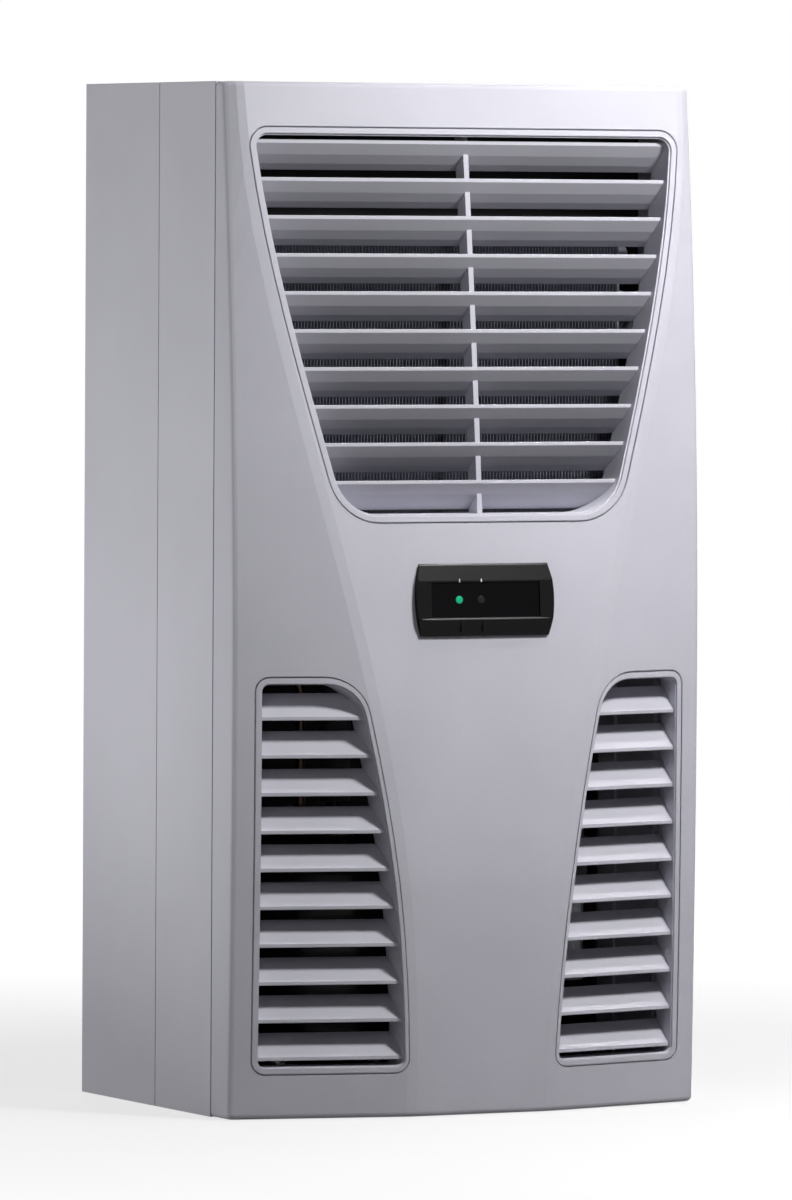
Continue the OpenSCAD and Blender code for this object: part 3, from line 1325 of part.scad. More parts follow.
// Capillary: down from the drier, round its loops, back through the partition and up to the evaporator
module capillary_tube() color(copper) place() {
    top = drier_top_z - drier_len;
    loop_top = capillary_z + loop_pitch * loops;
    axis_d = cond_tube0_d + cond_tube_d - loop_r;
    sleeve_r = 1.5 * capillary_r;
    post(-riser_x, axis_d + loop_r, loop_top + 1.5 * sleeve_r, top, capillary_r);
    post(-riser_x, axis_d + loop_r, loop_top - sleeve_r, loop_top + 3 * sleeve_r, sleeve_r);
    translate([-riser_x, -axis_d, capillary_z]) capillary_loops();
    translate([-riser_x - 2 * sleeve_r, -axis_d - loop_r, capillary_z]) rotate([0, 90, 0]) cylinder(h = 3 * sleeve_r, r = sleeve_r);
    pipe([
        [-riser_x - sleeve_r / 2, axis_d + loop_r, capillary_z],
        [-inlet_riser_x, axis_d + loop_r, capillary_z],
        [-inlet_riser_x, evap_tube0_d, capillary_z],
        [-inlet_riser_x, evap_tube0_d, evap_tube0_z],
        [-coil_end, evap_tube0_d, evap_tube0_z]], capillary_r, bend_r / 2);
}

// Helical loops as a swept tube
module capillary_loops() {
    turns = 24;
    sides = 8;
    rows = turns * loops;
    points = [for (k = [0 : rows]) for (i = [0 : sides - 1]) let (
        a = 360 * k / turns - 90,
        b = 360 * i / sides,
        r = loop_r + capillary_r * cos(b))
        [r * cos(a), r * sin(a), loop_pitch * k / turns + capillary_r * sin(b)]];
    skin_faces = [for (k = [0 : rows - 1]) for (i = [0 : sides - 1]) let (j = (i + 1) % sides)
        each [[k * sides + i, (k + 1) * sides + j, (k + 1) * sides + i], [k * sides + i, k * sides + j, (k + 1) * sides + j]]];
    end_faces = [[for (i = [sides - 1 : -1 : 0]) i], [for (i = [0 : sides - 1]) rows * sides + i]];
    polyhedron(points = points, faces = concat(skin_faces, end_faces));
}

module controls_plate() color(galvanised) place() difference() {
    slab(controls_left_x, controls_left_x + controls_w, plate_face_d, controls_face_d + controls_fold, controls_z, controls_z + controls_h);
    slab(controls_left_x + skin, controls_left_x + controls_w - skin, controls_face_d, controls_face_d + controls_fold + over,
        controls_z + skin, controls_z + controls_h - skin);
    crossings(partition_d, controls_face_d + controls_fold + over, 2 * pipe_gap);
}

module at_standoffs() for (x = [standoff_r, board_w - standoff_r]) for (z = [standoff_r, board_h - standoff_r])
    translate([board_x + x, -controls_face_d, board_z + z]) rotate([90, 0, 0]) children();

module board_standoffs() color(galvanised) place() at_standoffs() cylinder(h = standoff_len, r = standoff_r, $fn = 24);

module control_board() color(board_green) place()
    slab(board_x, board_x + board_w, controls_face_d + standoff_len, controls_face_d + standoff_len + board_t, board_z, board_z + board_h);

// Relays, transformer, capacitors and plugs: width, depth and height, then place on the board
module board_parts() color(black_plastic) place() {
    face = controls_face_d + standoff_len + board_t;
    part_block(0.12, 0.3, 0.08, 0.34, relay_d, face);
    part_block(0.38, 0.56, 0.08, 0.34, relay_d, face);
    part_block(0.64, 0.92, 0.1, 0.52, transformer_d, face);
    part_block(0.12, 0.52, 0.78, 0.92, plug_d, face);
    for (i = [0 : 2]) bar(board_x + board_w * (0.18 + 0.14 * i), board_z + board_h * 0.56, face, face + board_cap_len, board_cap_r);
}

module part_block(x0, x1, z0, z1, depth, face)
    slab(board_x + board_w * x0, board_x + board_w * x1, face, face + depth, board_z + board_h * z0, board_z + board_h * z1);

module run_capacitor() color(fin_metal) place() {
    post(cap_x, controls_face_d + strap_t + cap_r, cap_z, cap_z + cap_len, cap_r);
    for (x = [-cap_r / 3, cap_r / 3]) post(cap_x + x, controls_face_d + strap_t + cap_r, cap_z + cap_len, cap_z + cap_len + nut_t, strap_t);
}

module capacitor_strap() color(galvanised) place() {
    z = cap_z + cap_len / 2;
    d = controls_face_d + strap_t + cap_r;
    difference() {
        post(cap_x, d, z, z + strap_w, cap_r + strap_t);
        post(cap_x, d, z - over, z + strap_w + over, cap_r + pin_gap);
    }
    slab(cap_x, cap_x + cap_r + 2 * nut_r, controls_face_d, controls_face_d + strap_t, z, z + strap_w);
}

module terminal_block() color(paint) place() difference() {
    slab(terminal_x - terminal_w / 2, terminal_x + terminal_w / 2, controls_face_d, controls_face_d + terminal_d,
        terminal_z, terminal_z + terminal_h);
    for (i = [-2 : 2]) bar(terminal_x + i * terminal_w / 6, terminal_z + terminal_h / 2, controls_face_d + terminal_d / 2,
        controls_face_d + terminal_d + over, terminal_hole_r);
}

module earth_stud() color(copper) place() {
    bar(earth_x, earth_z, controls_face_d, controls_face_d + stud_len, stud_r);
    translate([earth_x, -controls_face_d, earth_z]) rotate([90, 0, 0]) cylinder(h = nut_t, r = nut_r, $fn = 6);
}

// Puts a piece on the cover at the display's centre, leaning with the panel
module display_place() translate([0, -seam_d - panel_depth(display_z), display_z]) rotate([-tilt, 0, 0]) children();

module display_bezel() color(black_plastic) place() display_place() difference() {
    union() {
        intersection() {
            rotate([90, 0, 90]) linear_extrude(height = bezel_w, center = true) polygon(bezel_profile());
            bar(bezel_bow_r - bezel_w / 2, 0, -over, bezel_proud + over, bezel_bow_r);
            bar(bezel_w / 2 - bezel_bow_r, 0, -over, bezel_proud + over, bezel_bow_r);
        }
        slab(-box_w / 2, box_w / 2, -box_d, bezel_rim, -box_h / 2, box_h / 2);
        for (x = [lamp_x, lamp_x + lamp_pitch]) slab(x - window_back / 2, x + window_back / 2, bezel_rim, bezel_proud,
            -bezel_h / 2 + bezel_band / 4, -bezel_h / 2 + bezel_band);
    }
    slab(-window_w / 2, window_w / 2, bezel_proud - window_back - window_t, bezel_proud + over, -window_h / 2, window_h / 2);
    slab(-window_w / 2 + box_wall, window_w / 2 - box_wall, -box_d - over, bezel_proud, -window_h / 2 + box_wall, window_h / 2 - box_wall);
    slab(-box_w / 2 + box_wall, box_w / 2 - box_wall, -box_d - over, -bezel_gap, -box_h / 2 + box_wall, box_h / 2 - box_wall);
}

// Side view of the bezel: behind the cover's face to the front
function bezel_profile() = [[-bezel_gap, -bezel_h / 2], [-bezel_rim - bezel_gap, -bezel_h / 2],
    [-bezel_proud, -bezel_h / 2 + bezel_band], [-bezel_proud, bezel_h / 2 - bezel_band],
    [-bezel_rim, bezel_h / 2], [-bezel_gap, bezel_h / 2]];

module display_window() color(black_plastic) place() display_place()
    slab(-window_w / 2 + fit_gap, window_w / 2 - fit_gap, bezel_proud - window_back - window_t, bezel_proud - window_back,
        -window_h / 2 + fit_gap, window_h / 2 - fit_gap);

module indicator_lamps() color([0.1, 0.8, 0.35]) place() display_place() for (x = [lamp_x, lamp_x + lamp_pitch])
    bar(x, 0, lamp_front_d() - lamp_len, lamp_front_d(), lamp_r);

function lamp_front_d() = bezel_proud - window_back - window_t;

module display_board() color(board_green) place() display_place()
    slab(-box_w / 2 + box_wall, box_w / 2 - box_wall, lamp_front_d() - lamp_len - board_t, lamp_front_d() - lamp_len,
        -box_h / 2 + box_wall, box_h / 2 - box_wall);

rear_housing();
middle_housing();
front_cover();
upper_louvre();
left_louvre();
right_louvre();
cover_seal();
cover_brackets();
cover_screws();
housing_rivets();
rear_gasket();
mounting_inserts();
cable_gland();
partition_grommets();
partition();
partition_foam();
inlet_guard();
inlet_nozzle();
evaporator_fan_motor();
evaporator_fan_rotor();
evaporator_fins();
evaporator_tubes();
evaporator_end_plates();
drain_tray();
drain_hose();
drain_spout();
fan_shroud();
condenser_fan_frame();
condenser_fan_rotor();
fan_screws();
condenser_fins();
condenser_tubes();
condenser_end_plates();
base_plate();
compressor_shell();
compressor_foot_plate();
compressor_rubber_feet();
compressor_bolts();
compressor_terminal_cover();
suction_pipe();
pipe_insulation();
discharge_pipe();
liquid_pipe();
filter_drier();
capillary_tube();
controls_plate();
control_board();
board_parts();
board_standoffs();
run_capacitor();
capacitor_strap();
terminal_block();
earth_stud();
display_bezel();
display_window();
display_board();
indicator_lamps();
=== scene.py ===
import json
import math
import random

import bmesh
import bpy
from mathutils import Matrix, Vector


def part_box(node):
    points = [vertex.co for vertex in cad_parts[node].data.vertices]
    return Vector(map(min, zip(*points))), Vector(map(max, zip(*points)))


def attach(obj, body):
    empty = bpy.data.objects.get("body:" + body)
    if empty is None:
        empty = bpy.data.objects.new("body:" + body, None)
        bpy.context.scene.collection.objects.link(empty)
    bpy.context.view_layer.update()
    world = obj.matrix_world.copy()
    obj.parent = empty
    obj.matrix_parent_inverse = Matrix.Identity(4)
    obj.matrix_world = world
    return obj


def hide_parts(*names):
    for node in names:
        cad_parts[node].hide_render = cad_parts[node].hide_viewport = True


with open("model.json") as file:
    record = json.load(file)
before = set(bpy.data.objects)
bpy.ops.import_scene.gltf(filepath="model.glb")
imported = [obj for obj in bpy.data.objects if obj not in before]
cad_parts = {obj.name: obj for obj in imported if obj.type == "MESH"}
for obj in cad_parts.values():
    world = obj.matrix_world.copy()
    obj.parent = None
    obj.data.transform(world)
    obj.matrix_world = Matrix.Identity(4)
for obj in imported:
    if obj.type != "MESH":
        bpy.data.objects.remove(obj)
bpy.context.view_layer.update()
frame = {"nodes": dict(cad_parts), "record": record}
NODES = frame["nodes"]
RECORD = frame["record"]
SLOT_OF = {part["node"]: part["material_slot"] for part in RECORD["subparts"]}
BODY_OF = {node: body for body, nodes in RECORD["behaviour"]["bodies"].items() for node in nodes}
MM = 0.001
HALF_HEIGHT = 275.0 * MM

scene = bpy.context.scene
scene.view_settings.view_transform = "Standard"


# Camera, fitted to the photograph: angles in degrees, place in metres, picture and focal length
# in pixels, sensor in millimetres
CAMERA_YAW = -26.795
CAMERA_PITCH = -2.266
CAMERA_ROLL = 0.334
CAMERA_PLACE = (-2.3424, -4.7385, 0.4765 - HALF_HEIGHT)
CAMERA_CLIP = (0.05, 50.0)
PICTURE_WIDTH = 792.0
FOCAL_PIXELS = 9578.3
SENSOR_WIDTH = 36.0


def add_camera():
    yaw, pitch, roll = (math.radians(angle) for angle in (CAMERA_YAW, CAMERA_PITCH, CAMERA_ROLL))
    sin_yaw, cos_yaw = math.sin(yaw), math.cos(yaw)
    sin_pitch, cos_pitch = math.sin(pitch), math.cos(pitch)
    forward = Vector((-sin_yaw * cos_pitch, cos_yaw * cos_pitch, sin_pitch))
    level_right = Vector((cos_yaw, sin_yaw, 0.0))
    level_up = Vector((sin_yaw * sin_pitch, -cos_yaw * sin_pitch, cos_pitch))
    right = level_right * math.cos(roll) + level_up * math.sin(roll)
    up = level_up * math.cos(roll) - level_right * math.sin(roll)
    data = bpy.data.cameras.new("camera")
    data.sensor_fit = "HORIZONTAL"
    data.sensor_width = SENSOR_WIDTH
    data.lens = FOCAL_PIXELS * SENSOR_WIDTH / PICTURE_WIDTH
    data.clip_start, data.clip_end = CAMERA_CLIP
    camera = bpy.data.objects.new("camera", data)
    place = Matrix((right, up, -forward)).transposed().to_4x4()
    place.translation = Vector(CAMERA_PLACE)
    camera.matrix_world = place
    scene.collection.objects.link(camera)
    scene.camera = camera


add_camera()


# Materials. The scale of a noise is in waves per metre, depths and edge radii are in metres.
BEVEL_SAMPLES = 4
# The span that most values of a noise lie in
NOISE_LOW = 0.3
NOISE_HIGH = 0.7


class Shader:
    """A material with its Principled shader, and short calls to add nodes to it."""

    def __init__(self, name):
        self.material = bpy.data.materials.new(name)
        self.material.use_nodes = True
        self.tree = self.material.node_tree
        self.shader = next(n for n in self.tree.nodes if n.type == "BSDF_PRINCIPLED")
        self.place = self.node("ShaderNodeTexCoord").outputs["Object"]

    def node(self, kind, **inputs):
        made = self.tree.nodes.new(kind)
        for key, value in inputs.items():
            self.feed(made.inputs[key.replace("_", " ")], value)
        return made

    def feed(self, socket, value):
        if isinstance(value, bpy.types.NodeSocket):
            self.tree.links.new(value, socket)
        else:
            socket.default_value = value

    def set(self, **inputs):
        for key, value in inputs.items():
            self.feed(self.shader.inputs[key.replace("_", " ")], value)

    def noise(self, scale, detail=2.0, roughness=0.5, squeeze=None):
        """Noise over the object. A squeeze of 12 along Z lays its grain level."""
        where = self.place
        if squeeze:
            where = self.node("ShaderNodeMapping", Vector=self.place, Scale=squeeze).outputs["Vector"]
        made = self.node("ShaderNodeTexNoise", Vector=where, Scale=scale, Detail=detail)
        made.inputs["Roughness"].default_value = roughness
        return made.outputs["Fac"]

    def ramp(self, value, low, high, start=NOISE_LOW, end=NOISE_HIGH):
        """Carries a value from start..end to low..high."""
        made = self.node("ShaderNodeMapRange", Value=value)
        for key, bound in (("From Min", start), ("From Max", end), ("To Min", low), ("To Max", high)):
            made.inputs[key].default_value = bound
        return made.outputs["Result"]

    def blend(self, share, first, second):
        """Mixes two colours, each a tuple or a socket."""
        made = self.node("ShaderNodeMix")
        made.data_type = "RGBA"
        self.feed(made.inputs["Factor"], share)
        for socket, colour in zip(made.inputs[6:8], (first, second)):
            self.feed(socket, (*colour, 1.0) if isinstance(colour, tuple) else colour)
        return made.outputs[2]

    def bump(self, height, distance, strength, normal=None):
        made = self.node("ShaderNodeBump", Height=height, Distance=distance, Strength=strength)
        if normal is not None:
            self.feed(made.inputs["Normal"], normal)
        return made.outputs["Normal"]

    def soft_edges(self, radius):
        made = self.node("ShaderNodeBevel", Radius=radius)
        made.samples = BEVEL_SAMPLES
        return made.outputs["Normal"]


def tinted(colour, factor):
    return tuple(min(1.0, c * factor) for c in colour)


def plastic(name, colour, rough, grain=900.0, depth=0.03 * MM, edge=0.4 * MM, spread=0.03, gloss=0.15):
    """Moulded plastic: faint clouds and specks in the colour, and a fine eroded texture."""
    s = Shader(name)
    cloud = s.ramp(s.noise(scale=14.0, detail=3.0), 0.0, 1.0, start=0.35, end=0.65)
    speck = s.ramp(s.noise(scale=1.7 * grain, detail=1.0), 0.0, 0.5, start=0.4, end=0.8)
    body = s.blend(cloud, tinted(colour, 1 - spread), tinted(colour, 1 + spread))
    body = s.blend(speck, body, tinted(colour, 0.93))
    wear = s.ramp(s.noise(scale=60.0, detail=4.0), rough - 0.05, rough + 0.05)
    texture = s.noise(scale=grain, detail=3.0, roughness=0.6)
    normal = s.bump(texture, depth, strength=0.6, normal=s.soft_edges(edge))
    s.set(Base_Color=body, Roughness=wear, Normal=normal, Specular_IOR_Level=gloss)
    return s


def powder_coat(name, colour, rough):
    """Baked paint: faint clouds, orange peel, and a finer grain on it."""
    s = Shader(name)
    cloud = s.ramp(s.noise(scale=9.0, detail=3.0), 0.0, 1.0, start=0.35, end=0.65)
    body = s.blend(cloud, tinted(colour, 0.975), tinted(colour, 1.025))
    wear = s.ramp(s.noise(scale=40.0, detail=4.0), rough - 0.04, rough + 0.06)
    peel = s.bump(s.noise(scale=420.0), 0.06 * MM, strength=0.5, normal=s.soft_edges(0.8 * MM))
    grain = s.bump(s.noise(scale=2600.0, detail=1.0), 0.01 * MM, strength=0.4, normal=peel)
    s.set(Base_Color=body, Roughness=wear, Normal=grain, Specular_IOR_Level=0.25)
    return s


def zinc(name):
    """Zinc-plated sheet: spangle, and a level grain."""
    s = Shader(name)
    spangle = s.node("ShaderNodeTexVoronoi", Vector=s.place, Scale=190.0).outputs["Color"]
    grain = s.noise(scale=90.0, detail=4.0, roughness=0.6, squeeze=(1.0, 1.0, 12.0))
    body = s.blend(spangle, (0.50, 0.52, 0.55), (0.64, 0.66, 0.68))
    normal = s.bump(grain, 0.04 * MM, strength=0.3, normal=s.soft_edges(0.4 * MM))
    s.set(Base_Color=body, Metallic=1.0, Roughness=s.ramp(grain, 0.28, 0.46), Normal=normal)
    return s


def stained_metal(name, bright, dull):
    """Drawn copper or turned brass, stained in patches."""
    s = Shader(name)
    stain = s.noise(scale=55.0, detail=5.0, roughness=0.65)
    body = s.blend(s.ramp(stain, 0.0, 1.0, start=0.4, end=0.7), bright, dull)
    wear = s.ramp(stain, 0.22, 0.5, start=0.35, end=0.75)
    normal = s.bump(s.noise(scale=700.0), 0.02 * MM, strength=0.3)
    s.set(Base_Color=body, Metallic=1.0, Roughness=wear, Normal=normal)
    return s


def fin_metal(name, dark, light, metallic, rough, waves, squeeze, relief):
    """Thin rolled sheet with level streaks."""
    s = Shader(name)
    streak = s.noise(scale=waves, detail=4.0, roughness=0.6, squeeze=(1.0, 1.0, squeeze))
    body = s.blend(s.ramp(streak, 0.0, 1.0), dark, light)
    normal = s.bump(streak, 0.03 * MM, strength=relief)
    s.set(Base_Color=body, Metallic=metallic, Roughness=s.ramp(streak, *rough), Normal=normal)
    return s


def rubber(name, colour, pores=500.0, depth=0.08 * MM):
    """Dull rubber or foam with pores and a little dust."""
    s = Shader(name)
    dust = s.noise(scale=70.0, detail=5.0, roughness=0.7)
    body = s.blend(s.ramp(dust, 0.0, 0.35, start=0.5, end=0.8), colour, (0.10, 0.10, 0.105))
    pits = s.noise(scale=pores, detail=3.0)
    normal = s.bump(pits, depth, strength=0.7, normal=s.soft_edges(0.5 * MM))
    s.set(Base_Color=body, Roughness=s.ramp(dust, 0.62, 0.85), Normal=normal)
    return s


def board(name):
    """Green solder mask over raised copper tracks."""
    s = Shader(name)
    bricks = s.node("ShaderNodeTexBrick", Vector=s.place, Scale=160.0, Mortar_Size=0.03)
    tracks = bricks.outputs["Fac"]
    body = s.blend(tracks, (0.025, 0.14, 0.06), (0.05, 0.22, 0.10))
    wear = s.ramp(s.noise(scale=300.0), 0.28, 0.4)
    s.set(Base_Color=body, Roughness=wear, Normal=s.bump(tracks, 0.04 * MM, strength=0.5))
    return s


def smoked_acrylic(name):
    """Smoked plastic, made opaque, with a slight haze and waviness."""
    s = Shader(name)
    haze = s.noise(scale=40.0, detail=3.0)
    body = s.blend(haze, (0.0010, 0.0010, 0.0015), (0.004, 0.004, 0.005))
    normal = s.bump(s.noise(scale=90.0, detail=1.0), 0.01 * MM, strength=0.2)
    s.set(Base_Color=body, Roughness=s.ramp(haze, 0.05, 0.10), Normal=normal, Specular_IOR_Level=0.05)
    return s


def lit_lens(name):
    """Green lens with a lamp behind it."""
    s = Shader(name)
    glow = s.ramp(s.noise(scale=900.0, detail=1.0), 0.8, 1.0)
    body = s.blend(glow, (0.0, 0.20, 0.085), (0.012, 0.40, 0.19))
    s.set(Base_Color=body, Roughness=0.25, Specular_IOR_Level=0.15)
    s.set(Emission_Color=body, Emission_Strength=0.3)
    return s


def glossy_black(name, gloss, smooth):
    """Polished black plastic with smears and fine dust."""
    s = Shader(name)
    smear = s.noise(scale=55.0, detail=3.0, roughness=0.6)
    dust = s.noise(scale=2400.0, detail=2.0, roughness=0.6)
    share = s.ramp(dust, 0.0, 0.6, start=0.62, end=0.85)
    body = s.blend(share, (0.0015, 0.0015, 0.002), (0.006, 0.006, 0.0065))
    normal = s.bump(s.noise(scale=1800.0), 0.004 * MM, strength=0.3, normal=s.soft_edges(0.6 * MM))
    s.set(Base_Color=body, Roughness=s.ramp(smear, smooth, smooth + 0.06), Normal=normal)
    s.set(Specular_IOR_Level=gloss)
    return s


COPPER_BRIGHT, COPPER_DULL = (0.70, 0.34, 0.20), (0.36, 0.17, 0.11)
BRASS_BRIGHT, BRASS_DULL = (0.72, 0.50, 0.20), (0.42, 0.29, 0.13)
# Copper darkened as painted shade, for pipes that lie in shade inside the unit
SHADED_COPPER_LIGHT, SHADED_COPPER_DARK = (0.10, 0.06, 0.045), (0.05, 0.035, 0.03)

LOOKS = {
    "cover_plastic": plastic("moulded_grey", (0.60, 0.595, 0.660), rough=0.58),
    "painted_sheet": powder_coat("powder_coat_grey", (0.585, 0.58, 0.642), rough=0.50),
    "galvanised_sheet": zinc("zinc_sheet"),
    "black_plastic": plastic("black_plastic", (0.022, 0.022, 0.025), rough=0.40, spread=0.12),
    "black_rubber": rubber("black_rubber", (0.02, 0.02, 0.021)),
    "insulating_foam": rubber("closed_cell_foam", (0.06, 0.06, 0.065), pores=240.0, depth=0.3 * MM),
    "copper_tube": stained_metal("drawn_copper", COPPER_BRIGHT, COPPER_DULL),
    "aluminium_fin": fin_metal("fin_stock", (0.62, 0.63, 0.65), (0.78, 0.79, 0.81), metallic=1.0,
                               rough=(0.3, 0.48), waves=120.0, squeeze=20.0, relief=0.3),
    "black_enamel": plastic("black_enamel", (0.018, 0.018, 0.020), rough=0.25, grain=300.0),
    "circuit_board": board("solder_mask"),
    "terminal_grey": plastic("grey_polyamide", (0.30, 0.31, 0.33), rough=0.45),
    "brass_stud": stained_metal("brass_stud", BRASS_BRIGHT, BRASS_DULL),
    "display_glass": smoked_acrylic("smoked_acrylic"),
    "lamp_green": lit_lens("green_lamp"),
}
BEZEL_BLACK = glossy_black("glossy_black", gloss=0.12, smooth=0.38)
BEAD_BLACK = glossy_black("polished_black", gloss=1.0, smooth=0.33)
DARK_LENS = plastic("unlit_lens", (0.012, 0.013, 0.013), rough=0.12, edge=0.2 * MM)
TICK_WHITE = plastic("tick_white", (0.72, 0.72, 0.72), rough=0.5, edge=0.1 * MM)
# Painted shade: a dark copy of the fin stock for the condenser's fins, tubes and end plates, which lie
# in shade inside the unit
COIL_PAINTED_SHADE = fin_metal("coil_in_painted_shade", (0.130, 0.136, 0.165), (0.270, 0.280, 0.330), metallic=0.35,
                     rough=(0.38, 0.6), waves=150.0, squeeze=14.0, relief=0.4)
# Painted shade: black in place of the zinc of the fan shroud and the partition, which lie in shade
# inside the unit
SHEET_PAINTED_SHADE = powder_coat("sheet_in_painted_shade", (0.020, 0.020, 0.023), rough=0.55)
# Painted shade: darkened copper for the pipes inside the unit; the patches between its two colours are
# stains
COPPER_PAINTED_SHADE = stained_metal("copper_in_painted_shade", SHADED_COPPER_LIGHT, SHADED_COPPER_DARK)


def dress(names, look):
    for name in names:
        NODES[name].data.materials.clear()
        NODES[name].data.materials.append(look.material)


for node_name in NODES:
    dress((node_name,), LOOKS[SLOT_OF[node_name]])
dress(("display_bezel",), BEZEL_BLACK)
# Painted shade: parts that show through the gaps of the cover get dark colours in place of their own,
# standing in for the shade inside the unit
dress(("condenser_tubes", "condenser_end_plates"), COIL_PAINTED_SHADE)
dress(("fan_shroud", "partition"), SHEET_PAINTED_SHADE)
dress(("discharge_pipe", "liquid_pipe", "filter_drier", "capillary_tube", "suction_pipe"), COPPER_PAINTED_SHADE)


# Pieces with more shape than the plain solids have
def add_piece(name, mesh, looks, body):
    """Links a piece that rides on a body."""
    for look in looks:
        mesh.materials.append(look.material)
    piece = bpy.data.objects.new(name, mesh)
    scene.collection.objects.link(piece)
    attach(piece, body)
    return piece


def stand_in(name, mesh, looks, node):
    """Links a piece that takes a node's place."""
    piece = add_piece(name, mesh, looks, BODY_OF[node])
    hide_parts(node)


def mesh_of(name, bm, smooth=False):
    mesh = bpy.data.meshes.new(name)
    bmesh.ops.recalc_face_normals(bm, faces=bm.faces)
    bm.to_mesh(mesh)
    bm.free()
    if smooth:
        mesh.shade_smooth()
    return mesh


def skin_rings(bm, rings, closed=True):
    """Joins rings of points with quads, closes both ends if asked, and returns the rows of corners."""
    rows = [[bm.verts.new(point) for point in ring] for ring in rings]
    for low, high in zip(rows, rows[1:]):
        for i in range(len(low)):
            j = (i + 1) % len(low)
            bm.faces.new((low[i], low[j], high[j], high[i]))
    if closed:
        bm.faces.new(rows[0])
        bm.faces.new(rows[-1])
    return rows


LATHE_STEPS = 32


def lathe_rings(profile, place):
    """Rings of points round the local Z axis of place, from pairs of height and radius."""
    turns = [math.tau * k / LATHE_STEPS for k in range(LATHE_STEPS)]
    return [[place @ Vector((r * math.cos(a), r * math.sin(a), z)) for a in turns] for z, r in profile]


# Corrugated fins: zigzag across the depth, with a slight sway up their height
FIN_THICK = 0.22 * MM
FIN_WAVE = 0.28 * MM
FIN_FOLDS = 8
FIN_LEVELS = 10
FIN_PITCH = 1.9 * MM
# The most that a fin sways aside, and the angle in radians that its sway goes through from foot to top
FIN_LEAN = 0.12 * MM
FIN_SWAY = 5.0
FIN_SEED = 7


def fin_pack(name, node, look):
    low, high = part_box(node)
    bm = bmesh.new()
    rng = random.Random(FIN_SEED)
    count = int((high[0] - low[0] - FIN_THICK) / FIN_PITCH)
    pitch = (high[0] - low[0] - FIN_THICK - 2 * FIN_WAVE) / count
    for i in range(count + 1):
        x = low[0] + FIN_THICK / 2 + FIN_WAVE + i * pitch
        lean = rng.uniform(-FIN_LEAN, FIN_LEAN)
        phase = rng.uniform(0.0, math.tau)
        rings = []
        for level in range(FIN_LEVELS + 1):
            up = level / FIN_LEVELS
            drift = lean * math.sin(phase + FIN_SWAY * up)
            z = low[2] + (high[2] - low[2]) * up
            line = []
            for fold in range(FIN_FOLDS + 1):
                wave = (FIN_WAVE if fold % 2 else -FIN_WAVE) / 2
                line.append((x + wave + drift, low[1] + (high[1] - low[1]) * fold / FIN_FOLDS))
            ring = [(a - FIN_THICK / 2, b, z) for a, b in line]
            ring += [(a + FIN_THICK / 2, b, z) for a, b in reversed(line)]
            rings.append(ring)
        skin_rings(bm, rings)
    stand_in(name, mesh_of(name, bm), [look], node)


# Painted shade: the condenser's fins take the dark copy of the fin stock
fin_pack("condenser_fin_pack", "condenser_fins", COIL_PAINTED_SHADE)
fin_pack("evaporator_fin_pack", "evaporator_fins", LOOKS["aluminium_fin"])


# Screws with a domed head, a cross recess and a turned thread
SCREW_HEAD_H = 1.6 * MM
SCREW_SHANK_R = 1.9 * MM
THREAD_PITCH = 0.9 * MM
# Pitches from the tip to the first turn, and pitches that hold no turn
THREAD_START = 1.5
THREAD_FREE = 2.5
# Shares of the shank's radius
ROOT_SHARE = 0.84
TIP_SHARE = 0.55
# Pairs of height and radius, as shares of the head's
HEAD_SHARES = ((0.0, 0.94), (0.12, 1.0), (0.45, 1.0), (0.72, 0.93), (0.92, 0.8), (1.0, 0.62))
# The cross: half its arm's width and its reach in head radii, its depth in head heights,
# and the size of its floor as a share of its top
CROSS_HALF_SHARE = 0.11
CROSS_REACH_SHARE = 0.5
CROSS_DEPTH_SHARE = 0.6
CROSS_FLOOR_SHARE = 0.8
# Radians per metre: each screw is turned by its place, so that the crosses don't line up
SCREW_TURN_X = 11.0
SCREW_TURN_Z = 5.0
# Islands of a mesh whose boxes are this near belong to one solid
SAME_SOLID = 0.1 * MM


def screw(bm, place, head_r, head_h, shank_r, length):
    """A screw whose head stands on the local origin and whose shank points down the local Z axis."""
    root_r = ROOT_SHARE * shank_r
    profile = [(-length, TIP_SHARE * shank_r), (-length + THREAD_PITCH, root_r)]
    turns = int((length - THREAD_FREE * THREAD_PITCH) / THREAD_PITCH)
    for k in range(turns):
        z = -length + (THREAD_START + k) * THREAD_PITCH
        profile += [(z, shank_r), (z + THREAD_PITCH / 2, root_r)]
    profile.append((0.0, root_r))
    profile += [(high * head_h, wide * head_r) for high, wide in HEAD_SHARES]
    rows = skin_rings(bm, lathe_rings(profile, place), closed=False)
    bm.faces.new(rows[0])
    half, reach = CROSS_HALF_SHARE * head_r, CROSS_REACH_SHARE * head_r
    outline = []
    for quarter in range(4):
        turn = Matrix.Rotation(quarter * math.pi / 2, 3, "Z")
        outline += [turn @ Vector(c) for c in ((reach, -half, 0), (reach, half, 0), (half, half, 0))]
    lift, sink = Vector((0, 0, head_h)), Vector((0, 0, head_h * (1 - CROSS_DEPTH_SHARE)))
    top = [bm.verts.new(place @ (c + lift)) for c in outline]
    floor = [bm.verts.new(place @ (c * CROSS_FLOOR_SHARE + sink)) for c in outline]
    for i in range(len(top)):
        j = (i + 1) % len(top)
        bm.faces.new((top[i], top[j], floor[j], floor[i]))
    bm.faces.new(floor)
    loops = [(row[i], row[(i + 1) % len(row)]) for row in (rows[-1], top) for i in range(len(row))]
    edges = [bm.edges.get(pair) or bm.edges.new(pair) for pair in loops]
    bmesh.ops.triangle_fill(bm, edges=edges, use_beauty=True)


